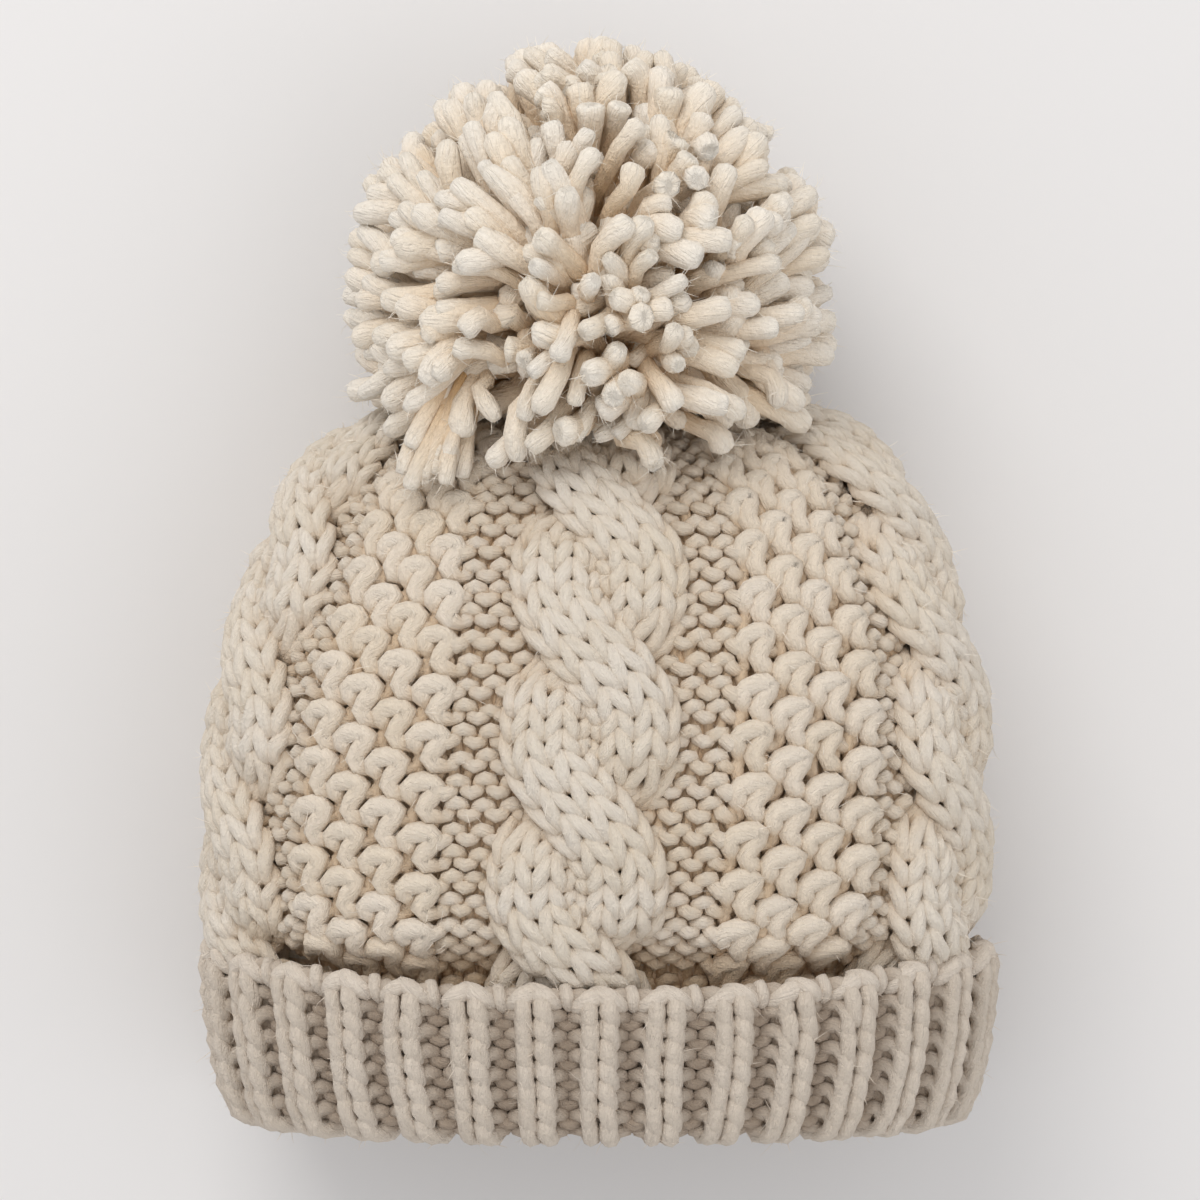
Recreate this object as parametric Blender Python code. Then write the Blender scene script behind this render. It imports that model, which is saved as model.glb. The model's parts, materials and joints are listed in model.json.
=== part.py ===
"""Cable knit beanie with a pompom, lying on its back.

+Y runs from the brim to the pompom, +X to the wearer's side, +Z up from the surface that
it lies on. The origin is under the middle of its outline. Lengths are in metres.
"""

import math
from collections import namedtuple

import bmesh
import bpy
import numpy as np
from mathutils import Vector

# Driving sizes
BODY_WIDTH = 0.219
BODY_DEPTH = 0.127
CROWN_LENGTH = 0.168
CUFF_HEIGHT = 0.043
INNER_RIB_HEIGHT = 0.033
BRIM_WIDTH = 0.192
BRIM_DEPTH = 0.1105
WALL = 0.007
FOLD_SLIT = 0.0015
CUFF_STAND_OFF = 0.0045
CUFF_BELLY = 0.0015
BODY_DROP = 0.030
POMPOM_WIDTH = 0.135
POMPOM_LENGTH = 0.130
POMPOM_HEIGHT = 0.128
POMPOM_OVERHANG = 0.027
POMPOM_SIDE_SHIFT = -0.003
TIE_RADIUS = 0.005
TIE_KNOT_RADIUS = 0.009
TIE_KNOT_LENGTH = 0.010
TIE_REACH = 0.014
SEAT_RADIUS = 0.014
GAP = 0.0003
DENT_CLEARANCE = 0.0016

# Knitted relief
CABLE_COUNT = 5
CABLE_WIDTH = 0.047
CABLE_RISE = 0.0065
CABLE_PERIOD = 0.042
GUTTER_WIDTH = 0.015
MOSS_RISE = 0.0022
RELIEF_SINKING = 0.0030
RELIEF_RUN = 0.024
RIB_COUNT = 32
RIB_RISE = 0.0034
LOCK_COUNT = 112
LOCK_RISE = 0.0075
LOCK_ROUNDING = 0.0009

# Shares of the relief
STRAND_HALF_WIDTH = 0.27
STRAND_SINKING = 0.65
WIDEST_CABLE = 0.55
WIDEST_GUTTER = 0.15
RIB_CREST_HALF_WIDTH = 0.27
LOCK_TIP_WIDTH = 0.62
LOCK_SHAKE = 0.03
FLAT_BELOW = 0.15

# Fineness of the meshes
SIDES_OF_CROWN = 90
SIDES_OF_TIE = 20
OUTER_ROWS = 26
INNER_ROWS = 7
KNOT_STEPS = 6
OVAL_STEPS = 360
REACH_STEPS = 48
REACH_HALVINGS = 20
SHARP_ANGLE = math.radians(50.0)

# Form of each oval section: where it is widest, and how square its upper and lower halves are
WIDEST_AT = 0.44
UPPER_POWER = 2.15
LOWER_POWER = 2.8
BACK_FLATTENING = 0.004
ROUND_BELOW = 0.4

# Form of the pompom: how pointed its free half is, and how full the half that spreads on the crown
FREE_POWER = 1.75
SPREAD_POWER = 3.4

# Places that follow from the sizes above
TOTAL_LENGTH = INNER_RIB_HEIGHT + GAP + CROWN_LENGTH - POMPOM_OVERHANG + POMPOM_LENGTH
FOLD_Y = -TOTAL_LENGTH / 2
JOIN_Y = FOLD_Y + INNER_RIB_HEIGHT
CROWN_START_Y = JOIN_Y + GAP
GATHER_Y = CROWN_START_Y + CROWN_LENGTH
CUFF_TOP_Y = FOLD_Y + CUFF_HEIGHT
POMPOM_Y = GATHER_Y - POMPOM_OVERHANG + POMPOM_LENGTH / 2
POMPOM_CENTRE = Vector((POMPOM_SIDE_SHIFT, POMPOM_Y, POMPOM_HEIGHT / 2))
GATHER_RADIUS = TIE_RADIUS + GAP

# Sections of the knitted body, as shares: along is of CROWN_LENGTH from its lower edge,
# half_width of BODY_WIDTH / 2, and top and bottom of BODY_DEPTH.
Section = namedtuple("Section", "along half_width top bottom")
BODY_SECTIONS = (
    Section(0.000, 0.902, 0.905, 0.000),
    Section(0.060, 0.917, 0.920, 0.000),
    Section(0.105, 0.968, 0.955, 0.000),
    Section(0.150, 0.992, 0.982, 0.000),
    Section(0.250, 1.000, 1.000, 0.000),
    Section(0.380, 1.000, 1.000, 0.000),
    Section(0.510, 0.984, 0.990, 0.000),
    Section(0.615, 0.948, 0.965, 0.000),
    Section(0.710, 0.902, 0.925, 0.000),
    Section(0.810, 0.842, 0.875, 0.012),
    Section(0.880, 0.785, 0.825, 0.060),
    Section(0.940, 0.700, 0.750, 0.140),
    Section(0.978, 0.570, 0.665, 0.245),
    Section(0.996, 0.330, 0.560, 0.325),
    Section(1.000, 0.150, 0.495, 0.372),
)
GATHER_HEIGHT = BODY_DEPTH * (BODY_SECTIONS[-1].top + BODY_SECTIONS[-1].bottom) / 2

Oval = namedtuple("Oval", "y half_width top bottom")


def smooth_step(value):
    """Goes from 0 to 1 with level ends as value goes from 0 to 1."""
    clipped = np.clip(value, 0.0, 1.0)
    return clipped * clipped * (3.0 - 2.0 * clipped)


def clear_scene():
    for obj in list(bpy.data.objects):
        bpy.data.objects.remove(obj, do_unlink=True)


def wool(name, colour, roughness):
    """A plain wool material."""
    material = bpy.data.materials.new(name)
    material.use_nodes = True
    shader = material.node_tree.nodes["Principled BSDF"]
    shader.inputs["Base Color"].default_value = (*colour, 1.0)
    shader.inputs["Roughness"].default_value = roughness
    shader.inputs["Metallic"].default_value = 0.0
    return material


def curve_through(rows, steps_each=16):
    """Rows along a smooth curve through the given rows, by Catmull-Rom spans."""
    padded = np.vstack([2 * rows[0] - rows[1], rows, 2 * rows[-1] - rows[-2]])
    curve = []
    for before, first, second, after in zip(padded, padded[1:], padded[2:], padded[3:]):
        for t in np.arange(steps_each) / steps_each:
            curve.append(
                0.5
                * (
                    2 * first
                    + (second - before) * t
                    + (2 * before - 5 * first + 4 * second - after) * t**2
                    + (3 * first - before - 3 * second + after) * t**3
                )
            )
    curve.append(rows[-1])
    return np.array(curve)


def evenly(curve, count):
    """Rows at even steps of the way along a curve, as seen from above."""
    steps = np.hypot(np.diff(curve[:, 0]), np.diff(curve[:, 1]))
    way = np.concatenate([[0.0], np.cumsum(steps)])
    wanted = np.linspace(0.0, way[-1], count)
    return np.column_stack([np.interp(wanted, way, column) for column in curve.T])


def at_y(curve, y):
    """The oval of a curve at a height along the hat."""
    return Oval(y, *(np.interp(y, curve[:, 0], column) for column in curve.T[1:]))


def grown(oval, by, forward=0.0):
    """The oval moved outward all round, and forward along the hat."""
    return Oval(oval.y + forward, oval.half_width + by, oval.top + by, oval.bottom - by)


def between(first, second, share):
    """The oval that lies a share of the way from one to the other."""
    return Oval(*(a + (b - a) * share for a, b in zip(first, second)))


def oval_form(oval):
    """Height where an oval is widest, its rise, its drop, and its two powers."""
    full = float(smooth_step(oval.half_width / (ROUND_BELOW * BODY_WIDTH / 2)))
    widest_at = 0.5 + (WIDEST_AT - 0.5) * full
    middle = oval.bottom + widest_at * (oval.top - oval.bottom)
    drop = middle - oval.bottom + BACK_FLATTENING * full
    upper = 2.0 + (UPPER_POWER - 2.0) * full
    lower = 2.0 + (LOWER_POWER - 2.0) * full
    return middle, oval.top - middle, drop, upper, lower


def oval_points(oval, shares):
    """Points round an oval at shares of its way round, from the top toward +X."""
    middle, rise, drop, upper, lower = oval_form(oval)
    angle = np.linspace(0.0, 2.0 * math.pi, OVAL_STEPS + 1)
    across = np.sin(angle)
    up = np.cos(angle)
    power = np.where(up >= 0.0, upper, lower)
    x = oval.half_width * np.sign(across) * np.abs(across) ** (2.0 / power)
    z = middle + np.where(up >= 0.0, rise, drop) * np.sign(up) * np.abs(up) ** (2.0 / power)
    z = np.maximum(z, oval.bottom)
    way = np.concatenate([[0.0], np.cumsum(np.hypot(np.diff(x), np.diff(z)))])
    wanted = np.mod(shares, 1.0) * way[-1]
    points = np.empty((len(shares), 3))
    points[:, 0] = np.interp(wanted, way, x)
    points[:, 1] = oval.y
    points[:, 2] = np.interp(wanted, way, z)
    return points, way[-1]


def inside_oval(oval, x, z):
    """Whether a point across the hat lies inside an oval."""
    middle, rise, drop, upper, lower = oval_form(oval)
    height = rise if z >= middle else drop
    power = upper if z >= middle else lower
    if z <= oval.bottom or oval.half_width <= 0.0:
        return False
    return (abs(x) / oval.half_width) ** power + (abs(z - middle) / height) ** power < 1.0


def outward(rings):
    """Outward directions at each point of a stack of rings."""
    along = np.gradient(rings, axis=0)
    around = (np.roll(rings, -1, axis=1) - np.roll(rings, 1, axis=1)) / 2.0
    normals = np.cross(around, along)
    lengths = np.linalg.norm(normals, axis=2, keepdims=True)
    return normals / np.maximum(lengths, 1e-12)


def cable_relief(across, along):
    """Height of the two strands of a cable, as a share, across from -0.5 to 0.5.

    In each period, going up from the brim, the right strand passes over the left one.
    """
    phase = np.mod(along / CABLE_PERIOD, 1.0)
    swing = 0.5 * smooth_step(phase)
    front = across - (0.25 - swing)
    back = across - (-0.25 + swing)
    front_height = np.sqrt(np.clip(1.0 - (front / STRAND_HALF_WIDTH) ** 2, 0.0, 1.0))
    sunk = 1.0 - STRAND_SINKING * np.sin(math.pi * phase)
    back_height = sunk * np.sqrt(np.clip(1.0 - (back / STRAND_HALF_WIDTH) ** 2, 0.0, 1.0))
    return np.maximum(front_height, back_height)


def body_relief(share, along, girth):
    """Height of the knitting over the plain body, in metres."""
    repeat = girth / CABLE_COUNT
    local = (np.mod(share * CABLE_COUNT + 0.5, 1.0) - 0.5) * repeat
    width = min(CABLE_WIDTH, WIDEST_CABLE * repeat)
    gutter = min(GUTTER_WIDTH, WIDEST_GUTTER * repeat)
    across = local / width
    cable = np.where(np.abs(across) < 0.5, cable_relief(across, along), 0.0)
    past_gutter = np.abs(local) - width / 2.0 - gutter / 2.0
    moss = smooth_step(past_gutter / gutter)
    return CABLE_RISE * cable + MOSS_RISE * moss


def mesh_object(name, points, faces, material):
    """A mesh object with its faces turned outward."""
    mesh = bpy.data.meshes.new(name)
    mesh.from_pydata([tuple(point) for point in points], [], faces)
    work = bmesh.new()
    work.from_mesh(mesh)
    bmesh.ops.recalc_face_normals(work, faces=work.faces)
    work.to_mesh(mesh)
    work.free()
    mesh.shade_smooth()
    mesh.set_sharp_from_angle(angle=SHARP_ANGLE)
    obj = bpy.data.objects.new(name, mesh)
    if material:
        mesh.materials.append(material)
    bpy.context.collection.objects.link(obj)
    return obj


def hollow_band(name, rings, material):
    """A closed band from rings that follow each other round its wall and back to the first."""
    count = len(rings)
    sides = len(rings[0])
    points = np.concatenate(rings)
    faces = []
    for ring in range(count):
        following = (ring + 1) % count
        for side in range(sides):
            beside = (side + 1) % sides
            faces.append(
                (
                    ring * sides + side,
                    ring * sides + beside,
                    following * sides + beside,
                    following * sides + side,
                )
            )
    return mesh_object(name, points, faces, material)


def body_curve():
    """The body's sections in metres: it lies on the surface, but for where the cuff is under it."""
    scale = np.array([CROWN_LENGTH, BODY_WIDTH / 2, BODY_DEPTH, BODY_DEPTH])
    curve = curve_through(np.array(BODY_SECTIONS) * scale)
    curve[:, 0] += CROWN_START_Y
    under = (WALL + CUFF_STAND_OFF) * (1.0 - smooth_step((curve[:, 0] - CUFF_TOP_Y) / BODY_DROP))
    curve[:, 3] = np.maximum(curve[:, 3], under)
    return curve


def make_crown(material):
    """The knitted body: its outer face with cables, the gathered hole, then its inner face."""
    curve = body_curve()
    shares = np.arange(SIDES_OF_CROWN) / SIDES_OF_CROWN
    outer_rows = evenly(curve, OUTER_ROWS)
    rings = []
    girths = []
    for row in outer_rows:
        ring, girth = oval_points(Oval(*row), shares)
        rings.append(ring)
        girths.append(girth)
    rings = np.array(rings)
    normals = outward(rings)
    for index, (row, girth) in enumerate(zip(outer_rows, girths)):
        along = row[0] - CROWN_START_Y
        bare = GATHER_Y - POMPOM_OVERHANG - row[0]
        fade = smooth_step(along / CUFF_HEIGHT) * smooth_step(bare / RELIEF_RUN)
        above = (rings[index, :, 2] - row[3]) / (row[2] - row[3])
        relief = body_relief(shares, along, girth) - RELIEF_SINKING
        lifted = relief * fade * smooth_step(above / FLAT_BELOW)
        rings[index] += normals[index] * lifted[:, None]

    inner_rows = evenly(curve, INNER_ROWS)
    slopes = np.gradient(inner_rows, axis=0)
    steep = np.hypot(slopes[:, 0], slopes[:, 1])
    inward = WALL * slopes[:, 0] / steep
    back = WALL * slopes[:, 1] / steep
    inner = []
    for row, sideways, forward in zip(inner_rows, inward, back):
        oval = grown(Oval(*row), -max(sideways, 0.0), forward)
        inner.append(oval)
    inner[0] = grown(Oval(*inner_rows[0]), -WALL)
    inner[-1] = inner[-1]._replace(y=GATHER_Y - WALL)

    hole = Oval(GATHER_Y, GATHER_RADIUS, GATHER_HEIGHT + GATHER_RADIUS, GATHER_HEIGHT - GATHER_RADIUS)
    ends = [hole, hole._replace(y=GATHER_Y - WALL)]
    closing = [oval_points(oval, shares)[0] for oval in ends]
    lining = [oval_points(oval, shares)[0] for oval in reversed(inner)]
    return hollow_band("crown", [*rings, *closing, *lining], material)


def rib_shares():
    """Shares round the cuff: for each rib the two edges of its crest, then the valley."""
    stations = [-RIB_CREST_HALF_WIDTH, RIB_CREST_HALF_WIDTH, 0.5]
    return np.array([(rib + station) / RIB_COUNT for rib in range(RIB_COUNT) for station in stations])


def inner_rib(curve, y):
    """The outer face of the rib's inner layer, or of the body above it."""
    brim = Oval(FOLD_Y, BRIM_WIDTH / 2, BRIM_DEPTH, WALL + FOLD_SLIT)
    if y > JOIN_Y:
        return at_y(curve, y)
    return between(brim, at_y(curve, CROWN_START_Y), (y - FOLD_Y) / INNER_RIB_HEIGHT)._replace(y=y)


def outer_rib(curve, share, inward=0.0):
    """The outer face of the turned up layer at a share of its height, or a face inside it."""
    y = FOLD_Y + share * CUFF_HEIGHT
    slit = FOLD_SLIT + (CUFF_STAND_OFF - FOLD_SLIT) * smooth_step(share)
    belly = CUFF_BELLY * math.sin(math.pi * share)
    face = grown(inner_rib(curve, y), slit + WALL + belly - inward)
    return face._replace(bottom=inward)


def make_cuff(material):
    """The folded rib: its inner layer up from the fold, and its outer layer turned up round it."""
    curve = body_curve()
    shares = rib_shares()
    crest = np.array([1.0, 1.0, 0.0] * RIB_COUNT) - 0.5
    fold_top = FOLD_Y + WALL / 2
    rounding = WALL / 8
    stations = [
        (grown(inner_rib(curve, JOIN_Y), -WALL), 0.3),
        (grown(inner_rib(curve, (FOLD_Y + JOIN_Y) / 2), -WALL), 0.3),
        (grown(inner_rib(curve, fold_top), -WALL), 0.3),
        (grown(inner_rib(curve, FOLD_Y), -WALL / 2), 0.3),
        (outer_rib(curve, 0.0, WALL / 2), 0.6),
        (outer_rib(curve, 0.06, rounding), 1.0),
        (outer_rib(curve, 0.20), 1.0),
        (outer_rib(curve, 0.50), 1.0),
        (outer_rib(curve, 0.78), 1.0),
        (outer_rib(curve, 0.95, rounding), 1.0),
        (outer_rib(curve, 1.00, WALL / 2), 0.6),
        (outer_rib(curve, 0.94, WALL), 0.0),
        (outer_rib(curve, 0.25, WALL), 0.0),
        (inner_rib(curve, FOLD_Y + 0.30 * CUFF_HEIGHT), 0.0),
        (inner_rib(curve, JOIN_Y), 0.0),
    ]
    rings = []
    for oval, ribbed in stations:
        ring = oval_points(oval, shares)[0]
        above = (ring[:, 2] - oval.bottom) / (oval.top - oval.bottom)
        lift = RIB_RISE * crest * ribbed * smooth_step(above / FLAT_BELOW)
        around = np.roll(ring, -1, axis=0) - np.roll(ring, 1, axis=0)
        away = np.column_stack([-around[:, 2], np.zeros(len(ring)), around[:, 0]])
        away /= np.linalg.norm(away, axis=1, keepdims=True)
        rings.append(ring + away * lift[:, None])
    return hollow_band("ribbed_cuff", rings, material)


def lock_directions():
    """Unit directions of the pompom's locks, evenly spread and slightly shaken."""
    shake = np.random.RandomState(11)
    index = np.arange(LOCK_COUNT) + 0.5
    up = 1.0 - 2.0 * index / LOCK_COUNT
    turn = math.pi * (1.0 + math.sqrt(5.0)) * index
    flat = np.sqrt(1.0 - up**2)
    directions = np.column_stack([flat * np.cos(turn), flat * np.sin(turn), up])
    directions += shake.normal(scale=LOCK_SHAKE, size=directions.shape)
    directions /= np.linalg.norm(directions, axis=1, keepdims=True)
    lengths = 1.0 + shake.uniform(-LOCK_SHAKE, LOCK_SHAKE, LOCK_COUNT)
    return directions, lengths


def ball_reach(direction):
    """Distance from the pompom's centre to its outline, which is fuller toward the crown."""
    across = direction.x / (POMPOM_WIDTH / 2)
    up = direction.z / (POMPOM_HEIGHT / 2 + BACK_FLATTENING)
    along = abs(direction.y) / (POMPOM_LENGTH / 2)
    power = FREE_POWER if direction.y > 0.0 else SPREAD_POWER
    return (math.hypot(across, up) ** power + along**power) ** (-1.0 / power)


def free_reach(direction, wanted, curve):
    """How far a lock can reach before the surface underneath, the seat or the crown stops it."""
    reach = wanted
    if direction.z < 0.0:
        reach = min(reach, -POMPOM_CENTRE.z / direction.z)

    def in_crown(distance):
        point = POMPOM_CENTRE + direction * distance
        if math.hypot(point.x, point.z - GATHER_HEIGHT) < SEAT_RADIUS:
            return point.y < GATHER_Y + GAP
        if point.y > GATHER_Y + DENT_CLEARANCE:
            return False
        oval = grown(at_y(curve, point.y - DENT_CLEARANCE), DENT_CLEARANCE)
        return inside_oval(oval, point.x, point.z)

    for step in range(1, REACH_STEPS + 1):
        if not in_crown(reach * step / REACH_STEPS):
            continue
        low, high = reach * (step - 1) / REACH_STEPS, reach * step / REACH_STEPS
        for _ in range(REACH_HALVINGS):
            middle = (low + high) / 2
            low, high = (low, middle) if in_crown(middle) else (middle, high)
        return low
    return reach


def make_pompom(material):
    """A ball of blunt locks, flat where it rests and dented where it meets the crown."""
    directions, lengths = lock_directions()
    shell = bmesh.new()
    for direction in directions:
        shell.verts.new(direction)
    bmesh.ops.convex_hull(shell, input=shell.verts)
    shell.verts.index_update()
    shell.faces.index_update()
    curve = body_curve()

    points = []

    def place(direction, sunk, length):
        direction = direction.normalized()
        wanted = ball_reach(direction) * length - sunk
        points.append(POMPOM_CENTRE + direction * free_reach(direction, wanted, curve))
        return len(points) - 1

    valleys = {}
    for face in shell.faces:
        middle = sum((vert.co for vert in face.verts), Vector())
        valleys[face.index] = place(middle, LOCK_RISE, 1.0)
    faces = []
    for vert, length in zip(shell.verts, lengths):
        loops = ordered_faces(vert)
        rim = []
        for face in loops:
            corner = sum((other.co for other in face.verts), Vector()).normalized()
            rim.append(place(vert.co.lerp(corner, LOCK_TIP_WIDTH), LOCK_ROUNDING, length))
        tip = place(vert.co.copy(), 0.0, length)
        for index, face in enumerate(loops):
            following = (index + 1) % len(loops)
            faces.append((rim[index], rim[following], tip))
            faces.append(
                (valleys[face.index], valleys[loops[following].index], rim[following], rim[index])
            )
    shell.free()
    pompom = mesh_object("pompom", points, faces, material)
    socket = turned(
        "pompom_socket_cutter",
        [(GATHER_RADIUS, GATHER_Y - WALL), (GATHER_RADIUS, GATHER_Y + TIE_REACH + GAP)],
        None,
    )
    socket.hide_render = True
    socket.display_type = "WIRE"
    cut = pompom.modifiers.new("tie socket", "BOOLEAN")
    cut.operation = "DIFFERENCE"
    cut.solver = "EXACT"
    cut.object = socket
    return pompom


def ordered_faces(vert):
    """The faces round a vertex, in order."""
    loop = vert.link_loops[0]
    first = loop
    faces = []
    while True:
        faces.append(loop.face)
        loop = loop.link_loop_prev.link_loop_radial_next
        if loop == first:
            return faces


def turned(name, profile, material):
    """A solid turned round the gather's axis from pairs of a radius and a place along Y."""
    points = []
    for radius, y in profile:
        for side in range(SIDES_OF_TIE):
            angle = 2.0 * math.pi * side / SIDES_OF_TIE
            points.append((radius * math.sin(angle), y, GATHER_HEIGHT + radius * math.cos(angle)))
    faces = []
    for ring in range(len(profile) - 1):
        start = ring * SIDES_OF_TIE
        for side in range(SIDES_OF_TIE):
            beside = (side + 1) % SIDES_OF_TIE
            faces.append(
                (start + side, start + beside, start + SIDES_OF_TIE + beside, start + SIDES_OF_TIE + side)
            )
    faces.append(tuple(range(SIDES_OF_TIE)))
    faces.append(tuple(range(len(points) - SIDES_OF_TIE, len(points))))
    return mesh_object(name, points, faces, material)


def make_tie(material):
    """The yarn tie: a knot inside the gathered top, and its shank up into the pompom."""
    knot_face = GATHER_Y - WALL - GAP
    profile = []
    for step in range(KNOT_STEPS):
        angle = math.pi * (0.12 + 0.76 * step / KNOT_STEPS)
        y = knot_face - TIE_KNOT_LENGTH * (1.0 + math.cos(angle)) / 2.0
        profile.append((TIE_KNOT_RADIUS * math.sin(angle), y))
    profile.append((max(profile[-1][0] / 2, TIE_RADIUS + GAP), knot_face))
    profile.append((TIE_RADIUS, knot_face))
    profile.append((TIE_RADIUS, GATHER_Y + TIE_REACH))
    return turned("pompom_tie", profile, material)


def main():
    clear_scene()
    make_cuff(wool("cuff wool", (0.72, 0.64, 0.54), 0.9))
    make_crown(wool("crown wool", (0.74, 0.66, 0.56), 0.9))
    make_pompom(wool("pompom wool", (0.80, 0.72, 0.61), 0.92))
    make_tie(wool("tie wool", (0.70, 0.62, 0.52), 0.9))


main()
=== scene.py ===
"""Looks of the cable knit beanie: every stitch, rib and strand of its yarn.

+Y runs from the brim to the pompom, +X across the hat, +Z up from the surface that it lies
on. Lengths are in metres. Places on the knitting are turns round it from its top, rows or
shares along it, and heights over its plain face.
"""

import json
import logging
import math
from dataclasses import dataclass, field
from enum import Enum

import bpy
import numpy as np
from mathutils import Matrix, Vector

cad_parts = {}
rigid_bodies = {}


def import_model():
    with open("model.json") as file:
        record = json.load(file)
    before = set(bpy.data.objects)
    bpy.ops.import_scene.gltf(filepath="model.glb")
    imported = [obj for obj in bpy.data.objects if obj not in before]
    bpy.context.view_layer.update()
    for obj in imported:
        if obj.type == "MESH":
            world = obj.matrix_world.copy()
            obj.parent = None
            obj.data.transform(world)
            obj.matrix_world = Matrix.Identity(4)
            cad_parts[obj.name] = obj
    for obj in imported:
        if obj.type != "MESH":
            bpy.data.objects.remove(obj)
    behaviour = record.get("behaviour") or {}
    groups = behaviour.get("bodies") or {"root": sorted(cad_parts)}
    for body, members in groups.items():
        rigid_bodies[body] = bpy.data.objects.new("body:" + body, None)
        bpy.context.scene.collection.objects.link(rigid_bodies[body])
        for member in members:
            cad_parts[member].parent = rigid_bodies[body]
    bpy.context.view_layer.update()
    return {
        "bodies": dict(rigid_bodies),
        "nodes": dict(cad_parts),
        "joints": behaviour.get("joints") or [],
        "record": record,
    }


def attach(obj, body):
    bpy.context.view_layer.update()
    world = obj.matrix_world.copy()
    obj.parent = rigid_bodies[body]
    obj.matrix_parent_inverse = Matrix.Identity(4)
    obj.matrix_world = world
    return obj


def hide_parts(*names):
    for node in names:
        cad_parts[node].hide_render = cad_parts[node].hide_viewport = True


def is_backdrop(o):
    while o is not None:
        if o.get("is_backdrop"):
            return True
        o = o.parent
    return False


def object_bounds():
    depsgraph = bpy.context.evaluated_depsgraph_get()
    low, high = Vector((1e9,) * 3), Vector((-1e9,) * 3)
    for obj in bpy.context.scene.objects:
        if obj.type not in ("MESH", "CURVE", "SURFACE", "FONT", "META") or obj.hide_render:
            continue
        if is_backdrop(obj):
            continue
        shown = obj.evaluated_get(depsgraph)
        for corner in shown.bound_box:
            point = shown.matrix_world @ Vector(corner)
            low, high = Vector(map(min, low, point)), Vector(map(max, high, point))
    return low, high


Array = np.ndarray
Random = np.random.RandomState
Material = bpy.types.Material
LOG = logging.getLogger("beanie")
MM = 0.001
LIE_PER_METRE = 60.0


def smooth_step(value: Array) -> Array:
    """Goes from 0 to 1 with level ends as value goes from 0 to 1."""
    clipped = np.clip(value, 0.0, 1.0)
    return clipped * clipped * (3.0 - 2.0 * clipped)


def unit(vectors: Array) -> Array:
    """Vectors of length one in the same directions."""
    return vectors / np.maximum(np.linalg.norm(vectors, axis=-1, keepdims=True), 1e-12)


def eased(value: Array, stations: tuple[float, ...], heights: list[Array]) -> Array:
    """Reads a value between stations, level at each one.

    Args:
        value: Places to read at.
        stations: Rising places with known heights.
        heights: The height at each station, a number or an array like value.

    Returns:
        The height at each place.
    """
    out = np.zeros(np.broadcast(value, *heights).shape) + heights[0]
    for index in range(len(stations) - 1):
        share = smooth_step((value - stations[index]) / (stations[index + 1] - stations[index]))
        out = out + (heights[index + 1] - heights[index]) * share
    return out


def curved(start: Array, knee: Array, end: Array, t: Array) -> Array:
    """Points of a bend from start past knee to end, at shares t of the way."""
    return start * (1 - t) ** 2 + 2 * knee * t * (1 - t) + end * t**2


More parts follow.
